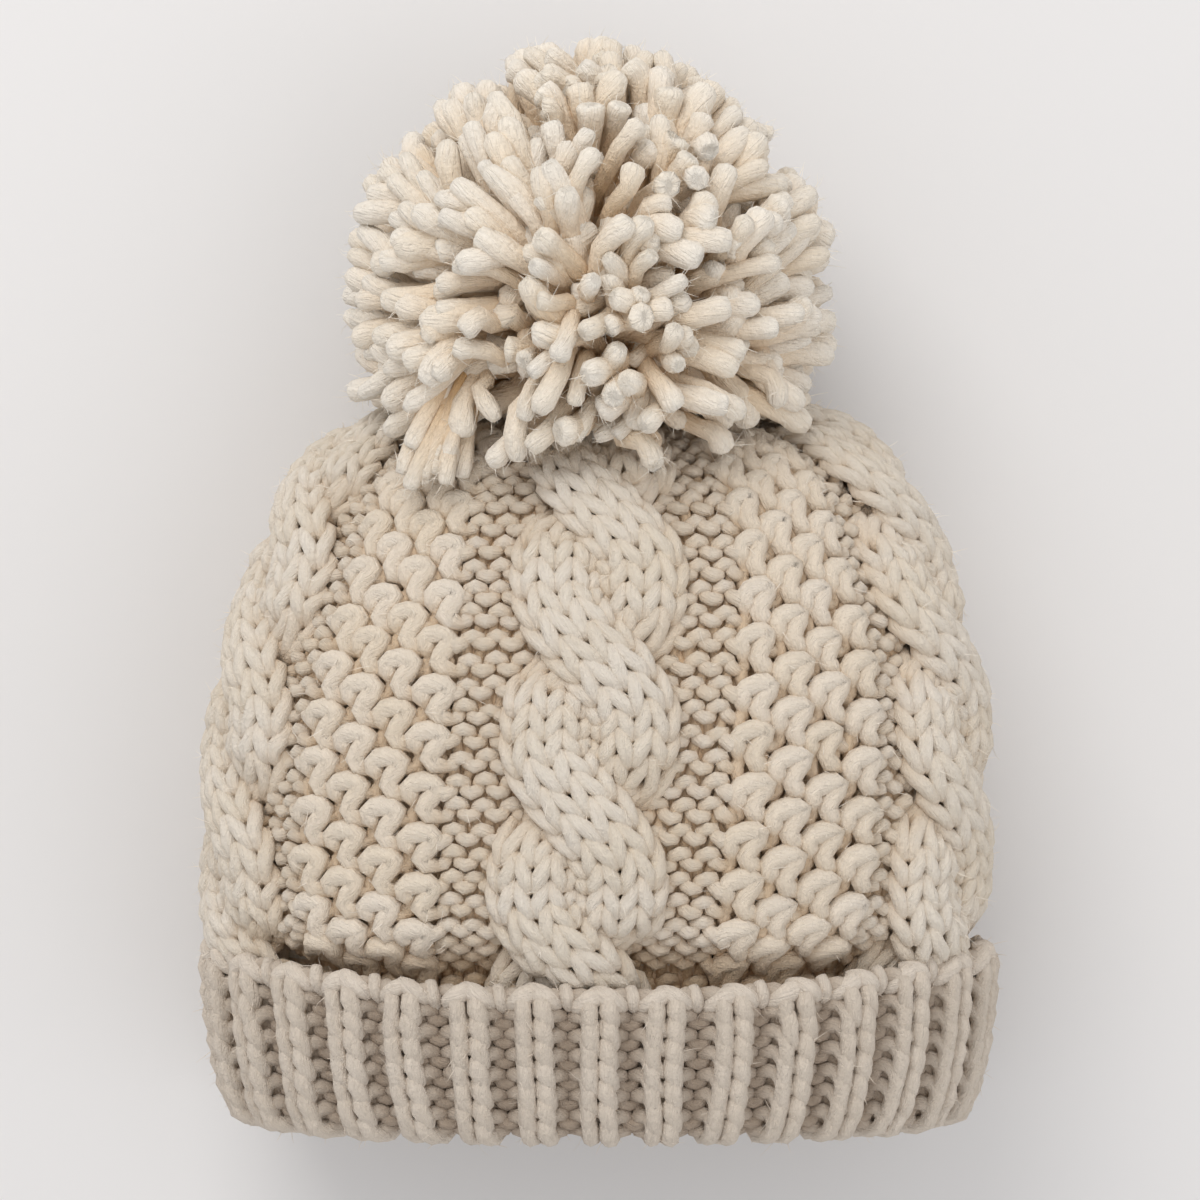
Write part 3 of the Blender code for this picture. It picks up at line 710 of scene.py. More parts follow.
@dataclass
class KnittedBody:
    """The crown's knitting: five cables, with purl gutters and moss panels between them.

    A strand is one half of a cable. Levels are heights over the body's plain face.
    """

    form: HatForm
    repeats: int = 5
    row_pitch: float = 6.7 * MM
    wales: int = 3
    cable_width: float = 0.0475
    cable_share: float = 0.46
    gutter_wale: float = 7.6 * MM
    gutter_share: float = 0.075
    near_wales: int = 2
    far_wales: int = 1
    slants: tuple = (1.0, 0.6, 0.4, 0.3, 0.15)
    cable_period: float = 0.042
    cable_phase: float = 0.064
    cable_radius: float = 0.0165
    crossing_lift: float = 1.8 * MM
    crossing_drop: float = 5.0 * MM
    lean: float = 0.75
    cable_top: float = 0.6 * MM
    moss_level: float = -4.2 * MM
    gutter_level: float = -5.6 * MM
    shell_level: float = -6.6 * MM
    yarn: float = 1.98 * MM
    unevenness: float = 1.4
    strand_tall: float = 1.72
    front_share: float = 0.94
    back_share: float = 0.52
    look_ahead: float = 0.05
    panel_tall: float = 1.5
    moss_tall: float = 0.12
    panel_skew: float = 0.13
    moss_skew: float = 0.09
    moss_wales: tuple = (6, 4)
    narrowest_wale: float = 5.7 * MM
    full_wale: float = 7.0 * MM
    strand_shift: float = 0.35 * MM
    strand_rise: float = 0.30 * MM
    strand_tuck: float = 3.0 * MM
    strand_shade_depth: float = 14.0 * MM
    panel_shift: float = 0.55 * MM
    panel_rise: float = 0.45 * MM
    panel_tuck: float = 1.6 * MM
    panel_shade_depth: float = 6.0 * MM
    shades: tuple = (-0.15, 0.25)
    ring_sides: int = 240
    grid_rows: int = 170
    drift_end: float = 0.62
    ground_rest: float = 1.2 * MM
    lining_gap: float = 0.9 * MM
    drift: float = -8.0 * MM
    hem_start: float = 8.0 * MM
    hem_end: float = 25.0 * MM
    hem_drop: float = 3.4 * MM
    loops: Loops = Loops()

    def __post_init__(self) -> None:
        """Makes the surface that the knitting lies on."""
        curve = self.form.body_curve()
        rings = np.array([self.form.ring(*row, self.ring_sides) for row in curve])
        self.grid = SurfaceGrid.from_rings(rings, self.grid_rows)
        self.rows = int(self.grid.length / self.row_pitch)

    def turn(self, repeat: float, across: Array, v: Array) -> Array:
        """Turns round the hat of a place across from the middle of a cable or panel."""
        girth = self.grid.girth(v)
        sway = self.drift * (1.0 - smooth_step(v / self.drift_end))
        return repeat / self.repeats + (across + sway) / girth

    def widths(self, v: Array) -> tuple[Array, Array, Array]:
        """Widths of a cable, a gutter's wale and a moss panel at a share along the body."""
        repeat = self.grid.girth(v) / self.repeats
        cable = np.minimum(self.cable_width, self.cable_share * repeat)
        wale = np.minimum(self.gutter_wale, self.gutter_share * repeat)
        return cable, wale, repeat - cable - (self.near_wales + self.far_wales) * wale

    def hem(self, along: Array) -> Array:
        """How far the body is drawn in behind the cuff, as a share from 0 to 1."""
        return 1.0 - smooth_step((along - self.hem_start) / (self.hem_end - self.hem_start))

    def place(self, repeat: float, across: Array, along: Array, height: Array) -> Array:
        """Points over the body, from a place across a cable or panel and a way along it."""
        v = along / self.grid.length
        return self.grid.at(self.turn(repeat, across, v), v, height)

    def strand_middle(self, phase: Array) -> tuple[Array, Array]:
        """Middle of a strand, as a share of the cable's width, and its lift over the other.

        Args:
            phase: Crossings passed; in an even one it comes from the right in front, in an
                odd one it goes back behind.

        Returns:
            The place across, and the lift from -1 to 1.
        """
        crossing = np.floor(phase)
        share = phase - crossing
        front = np.mod(crossing, 2.0) < 0.5
        swing = 0.5 * smooth_step((share - 0.5) / np.where(front, self.front_share, self.back_share) + 0.5)
        middle = np.where(front, 0.25 - swing, -0.25 + swing)
        under = smooth_step((share - 0.14) / 0.26) * smooth_step((0.86 - share) / 0.26)
        lift = np.where(front, np.sin(math.pi * share), -under)
        return middle, lift

    def strand(self, yarn: YarnMesh, repeat: int, which: int, random: Random) -> None:
        """Knits one strand of a cable, three wales wide.

        Args:
            yarn: The mesh that takes it.
            repeat: Which cable.
            which: 0 for the strand in front at the first crossing, 1 for the other.
            random: The source of small changes.
        """
        angles = self.loops.angles(self.wales)
        face = np.ones((self.rows, self.wales))
        across, along, height = self.loops.run(angles, face, face)
        shift = shaken(random, face.shape, angles) * self.strand_shift * self.unevenness
        rise = shaken(random, face.shape, angles) * self.strand_rise * self.unevenness
        shape = (self.rows, len(angles))
        row = np.arange(self.rows)[:, None]
        way = (row + 0.5) * self.row_pitch + along * self.row_pitch * self.strand_tall + shift
        v = way / self.grid.length
        cable = self.widths(v)[0]
        wale = cable / (2.0 * self.wales) * 1.04
        phase = way / self.cable_period + self.cable_phase + which
        middle, lift = self.strand_middle(phase)
        ahead = self.strand_middle(phase + self.look_ahead)[0]
        slope = (ahead - middle) * cable / (self.look_ahead * self.cable_period)
        tilt = np.arctan(slope)
        side = (across - self.wales / 2.0) * wale
        out = height * self.loops.depth + rise
        bend = side / self.cable_radius
        width = self.cable_radius * np.sin(bend) + out * np.sin(bend)
        top = self.cable_radius * (np.cos(bend) - 1.0) + out * np.cos(bend)
        lifted = np.where(lift > 0.0, lift * self.crossing_lift, lift * self.crossing_drop)
        reach = np.minimum(across, self.wales - across)
        tuck = self.strand_tuck * (1.0 - smooth_step((reach + 0.05) / 0.35))
        level = self.cable_top + lifted + top - tuck
        x = middle * cable + width * np.cos(tilt)
        forward = way - self.lean * width * np.sin(tilt)
        fine = np.clip(wale / self.gutter_wale, 0.3, 1.05)
        swell = 1.0 + 0.05 * shift / self.strand_shift
        radius = self.yarn * fine * (0.99 + 0.13 * height) * swell
        # Painted shade: darker colour low in each loop and where the strand sinks behind the other one.
        sunk = (level - self.cable_top) / self.strand_shade_depth
        painted_shade = np.clip(0.5 - 0.45 * height - sunk, 0.0, 1.0) * 0.5
        tint = np.broadcast_to(random.uniform(*self.shades, (self.rows, 1)), shape)
        yarn.lay(pressed(self.place(repeat, x, forward, level), radius), radius, tint, painted_shade)

    def panel(self, yarn: YarnMesh, repeat: int, random: Random) -> None:
        """Knits the moss stitch panel after a cable, with a purl gutter on each side.

        Args:
            yarn: The mesh that takes it.
            repeat: Which panel.
            random: The source of small changes.
        """
        shown_left = self.near_wales if repeat < 3 else self.far_wales
        shown_right = self.near_wales + self.far_wales - shown_left
        left, right = shown_left + 1, shown_right + 1
        wide, few = self.moss_wales
        slim = self.widths((np.arange(self.rows) + 0.5) / self.rows)[2] < wide * self.narrowest_wale
        narrow = int(np.argmax(slim)) if slim.any() else self.rows
        for first, last, moss in ((0, narrow, wide), (narrow, self.rows, few)):
            if last <= first:
                continue
            count = left + moss + right
            rows = np.arange(first, last)[:, None]
            column = np.arange(count)[None]
            knit = np.where((rows + column) % 2 == 0, 1.0, -1.0)
            inner = (column >= left) & (column < left + moss)
            face = np.where(inner, knit, -1.0)
            above = np.where(inner, -knit, -1.0)
            angles = self.loops.angles(count)
            across, along, height = self.loops.run(angles, face, above)
            shift = shaken(random, face.shape, angles) * self.unevenness
            slide = shaken(random, face.shape, angles) * self.unevenness
            rise = shaken(random, face.shape, angles) * self.unevenness
            c = across + 0.06 * slide
            within = np.clip(c - left, 0.0, moss) / moss - 0.5
            beyond = np.minimum(c, left) - left + np.maximum(c - left - moss, 0.0)
            mossy = smooth_step(np.minimum(c - left, left + moss - c) + 0.5)
            skew = (self.panel_skew + self.moss_skew * mossy) * self.slants[repeat] * np.sin(angles)[None]
            skew = skew + 0.05 * mossy * slide
            tall = self.panel_tall + self.moss_tall * mossy
            way = (rows + 0.5 + along * tall - skew) * self.row_pitch + shift * self.panel_shift
            v = way / self.grid.length
            wale, width = self.widths(v)[1:]
            x = (shown_left - shown_right) * wale / 2.0 + within * width + beyond * wale
            stations = (left - 1.0, left + 0.4, left + moss - 0.4, left + moss + 1.0)
            levels = [self.gutter_level, self.moss_level, self.moss_level, self.gutter_level]
            base = eased(c, stations, levels)
            edge = np.minimum(c, count - c)
            base = base - self.panel_tuck * (1.0 - smooth_step(edge / 0.7))
            hem = self.hem(way)
            level = base - self.hem_drop * hem + height * self.loops.depth + rise * self.panel_rise
            fine = np.clip(width / moss / self.full_wale, 0.3, 1.05)
            head = smooth_step((height - 0.1) / 0.8)
            bold = (0.88 + 0.06 * height) * (1.0 - mossy) + (0.94 + 0.50 * head) * mossy
            radius = self.yarn * fine * bold * (1.0 + 0.05 * slide)
            # Painted shade: darker colour low in each loop and where the knitting sinks, as in the
            # gutters, with a base share in the moss.
            shade = 0.42 + 0.26 * mossy - 0.42 * height
            painted_shade = np.clip(shade - (base - self.moss_level) / self.panel_shade_depth, 0.0, 1.0) * 0.6
            # Painted shade in a band just over the cuff, where the body is drawn in behind it.
            painted_shade = np.clip(painted_shade + 0.45 * hem, 0.0, 0.8)
            tint = random.uniform(*self.shades, (last - first, 1))
            yarn.lay(pressed(self.place(repeat + 0.5, x, way, level), radius), radius, tint, painted_shade)

    def shell(self, material: Material) -> None:
        """Builds the felted ground that shows between the stitches; the ground's wool is painted in shade.
        """
        rows, sides = 60, 160
        v = np.linspace(0.0, 1.0, rows)[:, None]
        u = np.arange(sides)[None] / sides
        level = self.shell_level - self.hem_drop * self.hem(v * self.grid.length) + 0.0 * u
        points = self.grid.at(u + 0.0 * v, v + 0.0 * u, level)
        points[..., 2] = np.maximum(points[..., 2], self.ground_rest)
        ground_piece("crown_ground", points, "crown", material)
        half = v[::2]
        inner = self.grid.at(u + 0.0 * half, half + 0.0 * u, level[::2] - self.lining_gap)
        inner[..., 2] = np.maximum(inner[..., 2], self.ground_rest + self.lining_gap)
        ground_piece("crown_inside", inner, "crown", material, 0.0)

    def build(self, material: Material) -> list[YarnMesh]:
        """Knits the whole body and returns its yarn, for the stray fibres."""
        random = Random(5)
        cables = YarnMesh("cables")
        for repeat in range(self.repeats):
            for which in (0, 1):
                self.strand(cables, repeat, which, random)
        front = YarnMesh("moss_panels_front")
        back = YarnMesh("moss_panels_back")
        for repeat in range(self.repeats):
            self.panel(front if repeat in (0, 4) else back, repeat, random)
        for yarn in (cables, front, back):
            yarn.build("crown", Wool.CROWN.value, material)
        self.shell(material)
        return [cables, front, back]


def ground_piece(
    name: str, points: Array, node: str, material: Material, shade: float = 0.60
) -> None:
    """A thin band under the stitches, its wool painted in shade.

    Args:
        name: Its name.
        points: Rows of points round the hat.
        node: The solid that it stands for.
        material: Its material.
        shade: Share of painted shade in its wool, from 0 to 1.
    """
    rows, sides = points.shape[:2]
    grid = np.arange(rows * sides).reshape(rows, sides)
    beside = np.roll(grid, -1, axis=1)
    quads = np.stack([grid[:-1], beside[:-1], beside[1:], grid[1:]], axis=-1).reshape(-1, 4)
    flat = points.reshape(-1, 3)
    mesh = new_mesh(name, flat, [quads])
    count = len(flat)
    turn = np.arange(count) % sides / sides * 2.0 * math.pi * 12.0
    lie = np.column_stack([np.cos(turn), np.sin(turn), flat[:, 1] * LIE_PER_METRE])
    mark_wool(mesh, lie, np.zeros(count), np.full(count, shade))
    dress(mesh, node, material)


@dataclass
class RibbedCuff:
    """The one by one rib, folded up double, with its thick cast-on edge.

    Each edge loop has its first and last place in columns, then in millimetres along.
    """

    form: HatForm
    ribs: int = 32
    row_pitch: float = 6.1 * MM
    knit_share: float = 0.61
    wave: float = 3.1 * MM
    yarn: float = 2.15 * MM
    edge_yarn: float = 2.75 * MM
    ring_sides: int = 256
    grid_rows: int = 120
    fold_calm: float = 0.07
    edge_loops: tuple = ((-0.14, 0.66, 2.6, -1.5), (0.36, 1.14, -1.9, 2.0))
    rib_tall: float = 1.62
    first_row: float = 0.60
    start: float = 0.5
    slide: float = 0.05
    shift: float = 0.6 * MM
    lean: float = 0.0020
    lean_waves: float = 7.0
    ground_drop: float = 1.5 * MM
    ground_rest: float = 1.2 * MM
    fold_steps: int = 9
    front_sag: float = 0.0030
    side_lift: float = 0.0040
    loops: Loops = Loops(left_neck=0.09, right_neck=0.15, purl_neck=0.22, depth=1.35 * MM)

    def __post_init__(self) -> None:
        """Makes the surface that the rib lies on, from its cast-on edge to its join."""
        form = self.form
        curve = form.body_curve()
        turn_radius = (form.wall + form.fold_slit) / 2.0
        turn_y = form.fold_y + turn_radius + form.wall / 2.0
        rings = []
        for share in np.linspace(1.0, (turn_y - form.fold_y) / form.cuff_height, 24):
            y = form.fold_y + share * form.cuff_height
            half, top, _ = form.inner_rib(curve, y)
            slit = form.fold_slit + (form.stand_off - form.fold_slit) * float(smooth_step(share))
            by = slit + form.wall / 2.0 + form.belly * math.sin(math.pi * share)
            ring = form.ring(y, half + by, top + by, form.wall / 2.0, self.ring_sides)
            front = smooth_step(ring[:, 2] / top * 2.0 - 0.2) * share**2
            middle = 1.0 - (ring[:, 0] / (half + by)) ** 2
            ring[:, 1] += front * (self.side_lift - (self.side_lift + self.front_sag) * middle)
            rings.append(ring)
        half, top, low = form.inner_rib(curve, turn_y)
        outer_by = rings[-1][:, 0].max() - half
        inner_low = low + form.wall / 2.0
        for step in range(1, self.fold_steps):
            angle = math.pi * step / self.fold_steps
            out = (1.0 + math.cos(angle)) / 2.0
            by = -form.wall / 2.0 + (outer_by + form.wall / 2.0) * out
            bottom = inner_low + (form.wall / 2.0 - inner_low) * out
            y = turn_y - turn_radius * math.sin(angle)
            rings.append(form.ring(y, half + by, top + by, bottom, self.ring_sides))
        for y in np.linspace(turn_y, form.crown_start, 14):
            half, top, low = form.inner_rib(curve, y)
            by = form.wall / 2.0
            rings.append(form.ring(y, half - by, top - by, low + by, self.ring_sides))
        self.grid = SurfaceGrid.from_rings(np.array(rings), self.grid_rows)
        self.grid.normals *= -1.0
        self.rows = int(self.grid.length / self.row_pitch)

    def across(self, column: Array) -> Array:
        """Turns round the hat at a place in columns, with the knit columns wider."""
        rib = np.floor(column / 2.0)
        share = (column / 2.0 - rib) * 2.0
        knit = self.knit_share
        within = np.where(share < 1.0, share * knit, knit + (share - 1.0) * (1.0 - knit))
        return (rib + within - knit / 2.0) / self.ribs

    def rise(self, column: Array, v: Array) -> Array:
        """Height of the rib: knit columns stand out, purl ones sink, less so round the fold."""
        fold = self.form.cuff_height / self.grid.length
        calm = 1.0 - 0.5 * np.exp(-(((v - fold) / self.fold_calm) ** 2))
        return -0.1 * MM + self.wave * calm * np.cos(math.pi * (column - 0.5))

    def build(self, material: Material) -> list[YarnMesh]:
        """Knits the rib and its edge, and returns its yarn, for the stray fibres."""
        random = Random(17)
        count = 2 * self.ribs
        face = np.where(np.arange(count)[None] % 2 == 0, 1.0, -1.0) * np.ones((self.rows, 1))
        angles = self.loops.angles(count)
        across, along, height = self.loops.run(angles, face, face)
        slide = shaken(random, face.shape, angles)
        shift = shaken(random, face.shape, angles)
        lean = shaken(random, (1, count), angles)
        column = across + self.slide * slide
        place = np.arange(self.rows)[:, None] + self.first_row + along * self.rib_tall
        way = place * self.row_pitch + shift * self.shift
        v = way / self.grid.length
        swing = self.lean * lean * np.sin(self.lean_waves * v)
        turns = self.start + self.across(column) + swing
        level = self.rise(column, v) + height * self.loops.depth
        knit = np.cos(math.pi * (column - 0.5))
        beads = np.clip(knit, 0.0, 1.0) * np.clip(-np.sin(angles)[None], 0.0, 1.0)
        radius = self.yarn * (1.02 + 0.14 * knit + 0.16 * beads + 0.05 * slide)
        # Painted shade: darker colour in the purl columns and low in each loop.
        painted_shade = np.clip(0.42 - 0.55 * knit - 0.10 * height, 0.0, 1.0)
        tint = random.uniform(-0.12, 0.15, (self.rows, 1))
        yarn = YarnMesh("cuff_rib")
        yarn.lay(pressed(self.grid.at(turns, v, level), radius), radius, tint, painted_shade)
        yarn.build("ribbed_cuff", Wool.CUFF.value, material)
        edge = self.edge(material, random)
        self.shell(material)
        return [yarn, edge]

    def edge(self, material: Material, random: Random) -> YarnMesh:
        """The cast-on edge: a wide loop over each knit column and a short one between them."""
        yarn = YarnMesh("cast_on_edge", sides=10)
        steps = np.linspace(0.0, 1.0, 13)[None]
        rib = np.arange(self.ribs)[:, None]
        shake = random.normal(scale=0.5, size=(self.ribs, 4))
        turn = smooth_step(steps)
        arch = np.sin(math.pi * steps)
        for first, last, low, high in self.edge_loops:
            column = 2.0 * rib + first + (last - first) * steps + 0.06 * shake[:, :1]
            way = (low + (high - low) * turn - 1.3 * arch + 0.6 * shake[:, 1:2]) * MM
            level = (-1.6 + 3.3 * arch**0.8 + 0.5 * shake[:, 2:3]) * MM
            line = self.grid.at(self.start + self.across(column), way / self.grid.length, level)
            radius = self.edge_yarn * (0.70 + 0.30 * arch) * (1.0 + 0.08 * shake[:, 3:4])
            line[..., 2] = np.maximum(line[..., 2], radius)
            yarn.lay(line, radius, 0.25 + 0.1 * shake[:, :1], np.zeros_like(radius))
        column = 2.0 * rib + 1.5 + 0.10 * shake[:, 3:4] + 0.3 * (steps - 0.5)
        way = (-3.6 + 9.0 * steps + 0.6 * shake[:, 2:3]) * MM
        level = (-1.6 + 2.6 * np.sin(math.pi * np.clip(steps * 1.2, 0.0, 1.0)) - 2.2 * steps) * MM
        line = self.grid.at(self.start + self.across(column), way / self.grid.length, level + 0.0 * way)
        swell = 0.70 + 0.30 * np.sin(math.pi * np.clip(steps * 1.1, 0.0, 1.0))
        radius = 0.82 * self.edge_yarn * swell + 0.0 * way
        line[..., 2] = np.maximum(line[..., 2], radius)
        yarn.lay(line, radius, 0.15 + 0.1 * shake[:, 1:2], np.zeros_like(radius))
        yarn.build("ribbed_cuff", Wool.CUFF.value, material)
        return yarn

    def shell(self, material: Material) -> None:
        """Builds the felted ground that shows between the ribs; its wool is painted in shade."""
        rows, sides = 40, self.ring_sides
        v = np.linspace(0.0, 1.0, rows)[:, None]
        column = np.arange(sides)[None] / sides * 2.0 * self.ribs
        level = self.rise(column, v) - self.ground_drop
        points = self.grid.at(self.start + self.across(column) + 0.0 * v, v + 0.0 * column, level)
        points[..., 2] = np.maximum(points[..., 2], self.ground_rest)
        ground_piece("cuff_ground", points, "ribbed_cuff", material)


@dataclass
class Pompom:
    """The pompom: some thousand cut ends of yarn, parted round a point that faces up."""

    form: HatForm
    width: float = 0.135
    length: float = 0.130
    height: float = 0.128
    middle: tuple = (-0.003, 0.08715, 0.064)
    tie: tuple = (-0.002, 0.066, 0.058)
    parting: tuple = (0.003, -0.018, 0.061)
    free_power: float = 1.75
    spread_power: float = 3.4
    strands: int = 1040
    yarn: float = 3.10 * MM
    crown_clearance: float = 3.5 * MM
    table_clearance: float = 2.6 * MM
    shaken: float = 0.035
    swirl: float = 0.16
    tousle: float = 0.12
    wobble: float = 2.2 * MM
    longest: float = 1.01
    cut_short: float = 0.40
    cut_power: float = 2.4
    bend_share: float = 0.88
    bend_pull: float = 0.15
    root_share: float = 0.35
    thickness: tuple = (0.78, 1.20)
    tuft_strands: int = 16
    tuft_thickness: tuple = (0.6, 0.85)
    tuft_start: tuple = (-0.036, 0.062, 0.100)
    tuft_end: tuple = (-0.0445, 0.0305, 0.1065)
    tuft_shake: float = 3.0 * MM
    tuft_spread: tuple = (4.5 * MM, 4.0 * MM, 1.5 * MM)
    tuft_bend: tuple = (-1.0 * MM, 0.0, 5.0 * MM)
    heart_share: float = 0.60

    def steps(self) -> Array:
        """Places along a strand, closer together where its cut end is rounded."""
        return np.array([0.0, 0.26, 0.48, 0.66, 0.80, 0.90, 0.955, 0.99, 1.0])

    def reach(self, directions: Array) -> Array:
        """Distance from the middle to the outline in each direction."""
        across = directions[:, 0] / (self.width / 2)
        up = directions[:, 2] / (self.height / 2 + self.form.back_flattening)
        along = np.abs(directions[:, 1]) / (self.length / 2)
        power = np.where(directions[:, 1] > 0.0, self.free_power, self.spread_power)
        return (np.hypot(across, up) ** power + along**power) ** (-1.0 / power)

    def free_reach(self, directions: Array, wanted: Array) -> Array:
        """How far a strand reaches before the surface underneath or the crown stops it.

        Args:
            directions: Directions from the middle.
            wanted: How far each would go.

        Returns:
            How far each goes.
        """
        curve = self.form.body_curve()
        shares = np.linspace(0.05, 1.0, 96)
        points = np.array(self.middle) + directions[:, None] * (wanted[:, None] * shares)[..., None]
        low = points[..., 2] < self.table_clearance
        blocked = self.form.inside(curve, points, self.crown_clearance) | low
        first = np.where(blocked.any(axis=1), blocked.argmax(axis=1), len(shares))
        return wanted * shares[np.clip(first - 1, 0, len(shares) - 1)]

    def directions(self, count: int, random: Random) -> Array:
        """Directions spread evenly over a ball and slightly shaken."""
        index = np.arange(count) + 0.5
        up = 1.0 - 2.0 * index / count
        turn = math.pi * (1.0 + math.sqrt(5.0)) * index
        flat = np.sqrt(1.0 - up**2)
        out = np.column_stack([flat * np.cos(turn), flat * np.sin(turn), up])
        return unit(out + random.normal(scale=self.shaken, size=out.shape))

    def paths(self, random: Random) -> tuple[Array, Array]:
        """Middle lines of the strands, and how thick each one is."""
        tips = self.directions(self.strands, random)
        longer = self.longest - self.cut_short * random.uniform(size=self.strands) ** self.cut_power
        wanted = self.reach(tips) * longer
        reach = self.free_reach(tips, wanted)
        ends = np.array(self.middle) + tips * reach[:, None]
        pole = unit(np.array(self.parting))
        facing = tips @ pole
        upper = smooth_step((tips[:, 1] - 0.15) / 0.5)
        left = smooth_step((-tips[:, 0] + 0.1) / 0.5)
        combed = (0.62 + 0.16 * left) * (1.0 - 0.62 * upper * (1.0 - 0.6 * left))
        combed = combed * smooth_step((facing + 0.75) / 0.9) * random.uniform(0.55, 1.15, self.strands)
        sideways = unit(tips - pole * facing[:, None])
        angle = np.arccos(np.clip(facing, -1.0, 1.0))
        start_angle = angle * (1.0 - combed)
        base = pole * np.cos(start_angle)[:, None] + sideways * np.sin(start_angle)[:, None]
        broad, fine = tips @ [5.1, 3.3, -4.2], tips @ [-9.3, 8.1, 7.7]
        swirl = np.stack([np.sin(broad + start) for start in (0.3, 2.1, 4.4)], axis=-1)
        swirl = swirl + 0.6 * np.stack([np.sin(fine + start) for start in (1.3, 3.1, 5.4)], axis=-1)
        tousled = random.normal(scale=self.tousle, size=base.shape)
        base = unit(base + self.swirl * swirl + tousled)
        tie = np.array(self.tie)
        out = self.free_reach(base, self.reach(base) * self.bend_share)
        knee = np.array(self.middle) + base * out[:, None]
        knee = knee + (ends - knee) * self.bend_pull
        root = tie + (knee - tie) * self.root_share
        t = self.steps()[None, :, None]
        line = curved(root[:, None], knee[:, None], ends[:, None], t)
        kink = random.normal(scale=0.5, size=(self.strands, 3, 3))
        wobble = kink[:, :1] * np.sin(math.pi * t) + kink[:, 1:2] * np.sin(2.0 * math.pi * t + 0.6)
        wobble = wobble + 0.7 * kink[:, 2:] * np.sin(5.5 * math.pi * t)
        line = line + wobble * self.wobble * t
        thick = self.yarn * random.uniform(*self.thickness, self.strands)
        return line, thick

    def tuft(self, random: Random) -> tuple[Array, Array]:
        """The soft tuft that hangs over the crown on the left."""
        count = self.tuft_strands
        start = np.array(self.tuft_start) + random.normal(scale=self.tuft_shake, size=(count, 3))
        end = np.array(self.tuft_end) + random.normal(scale=self.tuft_spread, size=(count, 3))
        knee = (start + end) / 2.0 + np.array(self.tuft_bend)
        t = self.steps()[None, :, None]
        line = curved(start[:, None], knee[:, None], end[:, None], t)
        return line, self.yarn * random.uniform(*self.tuft_thickness, count)

    def build(self, material: Material) -> list[YarnMesh]:
        """Cuts and sets every strand, and returns the yarn, for the stray fibres."""
        random = Random(23)
        yarn = YarnMesh("pompom_strands", sides=8, twist=70.0)
        stations = self.steps()[None]
        places = [0.0, 0.35, 0.75, 0.90, 0.955, 0.99, 1.0]
        profile = np.interp(stations, places, [0.78, 0.86, 0.97, 1.12, 1.12, 0.86, 0.50])
        for line, thick in (self.paths(random), self.tuft(random)):
            count = len(line)
            radius = thick[:, None] * profile * random.uniform(0.86, 1.12, (count, stations.shape[1]))
            line[..., 2] = np.maximum(line[..., 2], radius)
            # Painted shade: warm darker colour toward each strand's root, down among the strands.
            painted_shade = np.clip(1.22 - 1.22 * stations, 0.0, 1.0) * np.ones((count, 1))
            # Painted light: each strand is paler toward its cut tip, on the outside of the pompom where
            # the light falls.
            tint = random.uniform(-0.2, 0.2, (count, 1)) + 0.25 * smooth_step((stations - 0.75) / 0.25)
            yarn.lay(line, radius, tint, painted_shade, flat=0.9)
        yarn.build("pompom", Wool.POMPOM.value, material)
        self.core(material)
        return [yarn]

    def core(self, material: Material) -> None:
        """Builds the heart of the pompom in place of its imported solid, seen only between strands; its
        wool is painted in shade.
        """
        rows, sides = 24, 36
        tilt = np.linspace(0.02, math.pi - 0.02, rows)[:, None]
        turn = np.arange(sides)[None] / sides * 2.0 * math.pi
        across, along = np.sin(tilt) * np.cos(turn), np.sin(tilt) * np.sin(turn)
        flat = np.stack([across, along, np.cos(tilt) + 0.0 * turn], axis=-1).reshape(-1, 3)
        reach = self.free_reach(flat, self.reach(flat) * self.heart_share)
        points = (np.array(self.middle) + flat * reach[:, None]).reshape(rows, sides, 3)
        ground_piece("pompom_heart", points, "pompom", material)


@dataclass
class StrayFibres:
    """The halo of loose fibres that stand off the yarn."""

    name: str
    node: str
    wool: Wool
    middle: tuple
    spread: float
    length: float = 3.2 * MM
    width: float = 0.17 * MM

    def build(self, yarns: list[YarnMesh], count: int, seed: int, material: Material) -> None:
        """Grows fibres as thin tapering strips from points of the yarn.

        Args:
            yarns: The yarn that they grow from.
            count: How many.
            seed: Seed of their places.
            material: Their material.
        """
        random = Random(seed)
        points = np.concatenate([part[0] for yarn in yarns for part in yarn.parts])
        painted_shade = np.concatenate([part[3] for yarn in yarns for part in yarn.parts])
        outer = np.flatnonzero(painted_shade < 0.20)
        picks = random.choice(outer, count)
        start = points[picks]
        away = start - np.array(self.middle)
        away[:, 1] *= self.spread
        away = unit(unit(away) * 0.9 + random.normal(scale=0.75, size=away.shape))
        bend = unit(random.normal(size=away.shape))
        long = self.length * random.uniform(0.4, 1.5, count)[:, None]
        middle = start + away * long * 0.5 + bend * long * 0.12
        end = start + away * long * 0.9 + bend * long * 0.45
        side = unit(np.cross(away, bend)) * self.width / 2.0
        rows = ((start, 1.0), (middle, 0.8), (end, 0.3))
        strip = np.stack([row + side * wide * way for row, wide in rows for way in (-1.0, 1.0)], axis=1)
        strip[..., 2] = np.maximum(strip[..., 2], 0.2 * MM)
        base = np.arange(count)[:, None] * 6
        quads = np.concatenate([base + np.array([[0, 1, 3, 2]]), base + np.array([[2, 3, 5, 4]])])
        mesh = new_mesh(self.name, strip.reshape(-1, 3), [quads])
        total = count * 6
        mark_wool(mesh, np.zeros((total, 3)), np.full(total, 0.3), np.zeros(total))
        dress(mesh, self.node, material)


@dataclass
class Tie:
    """The hidden yarn tie, which keeps its plain solid under a wool finish."""

    node: str = "pompom_tie"

    def build(self, frame: dict, material: Material) -> None:
        """Gives the tie its wool."""
        solid = frame["nodes"][self.node]
        solid.data.materials.clear()
        solid.data.materials.append(material)
        LOG.info("%s: wool", self.node)


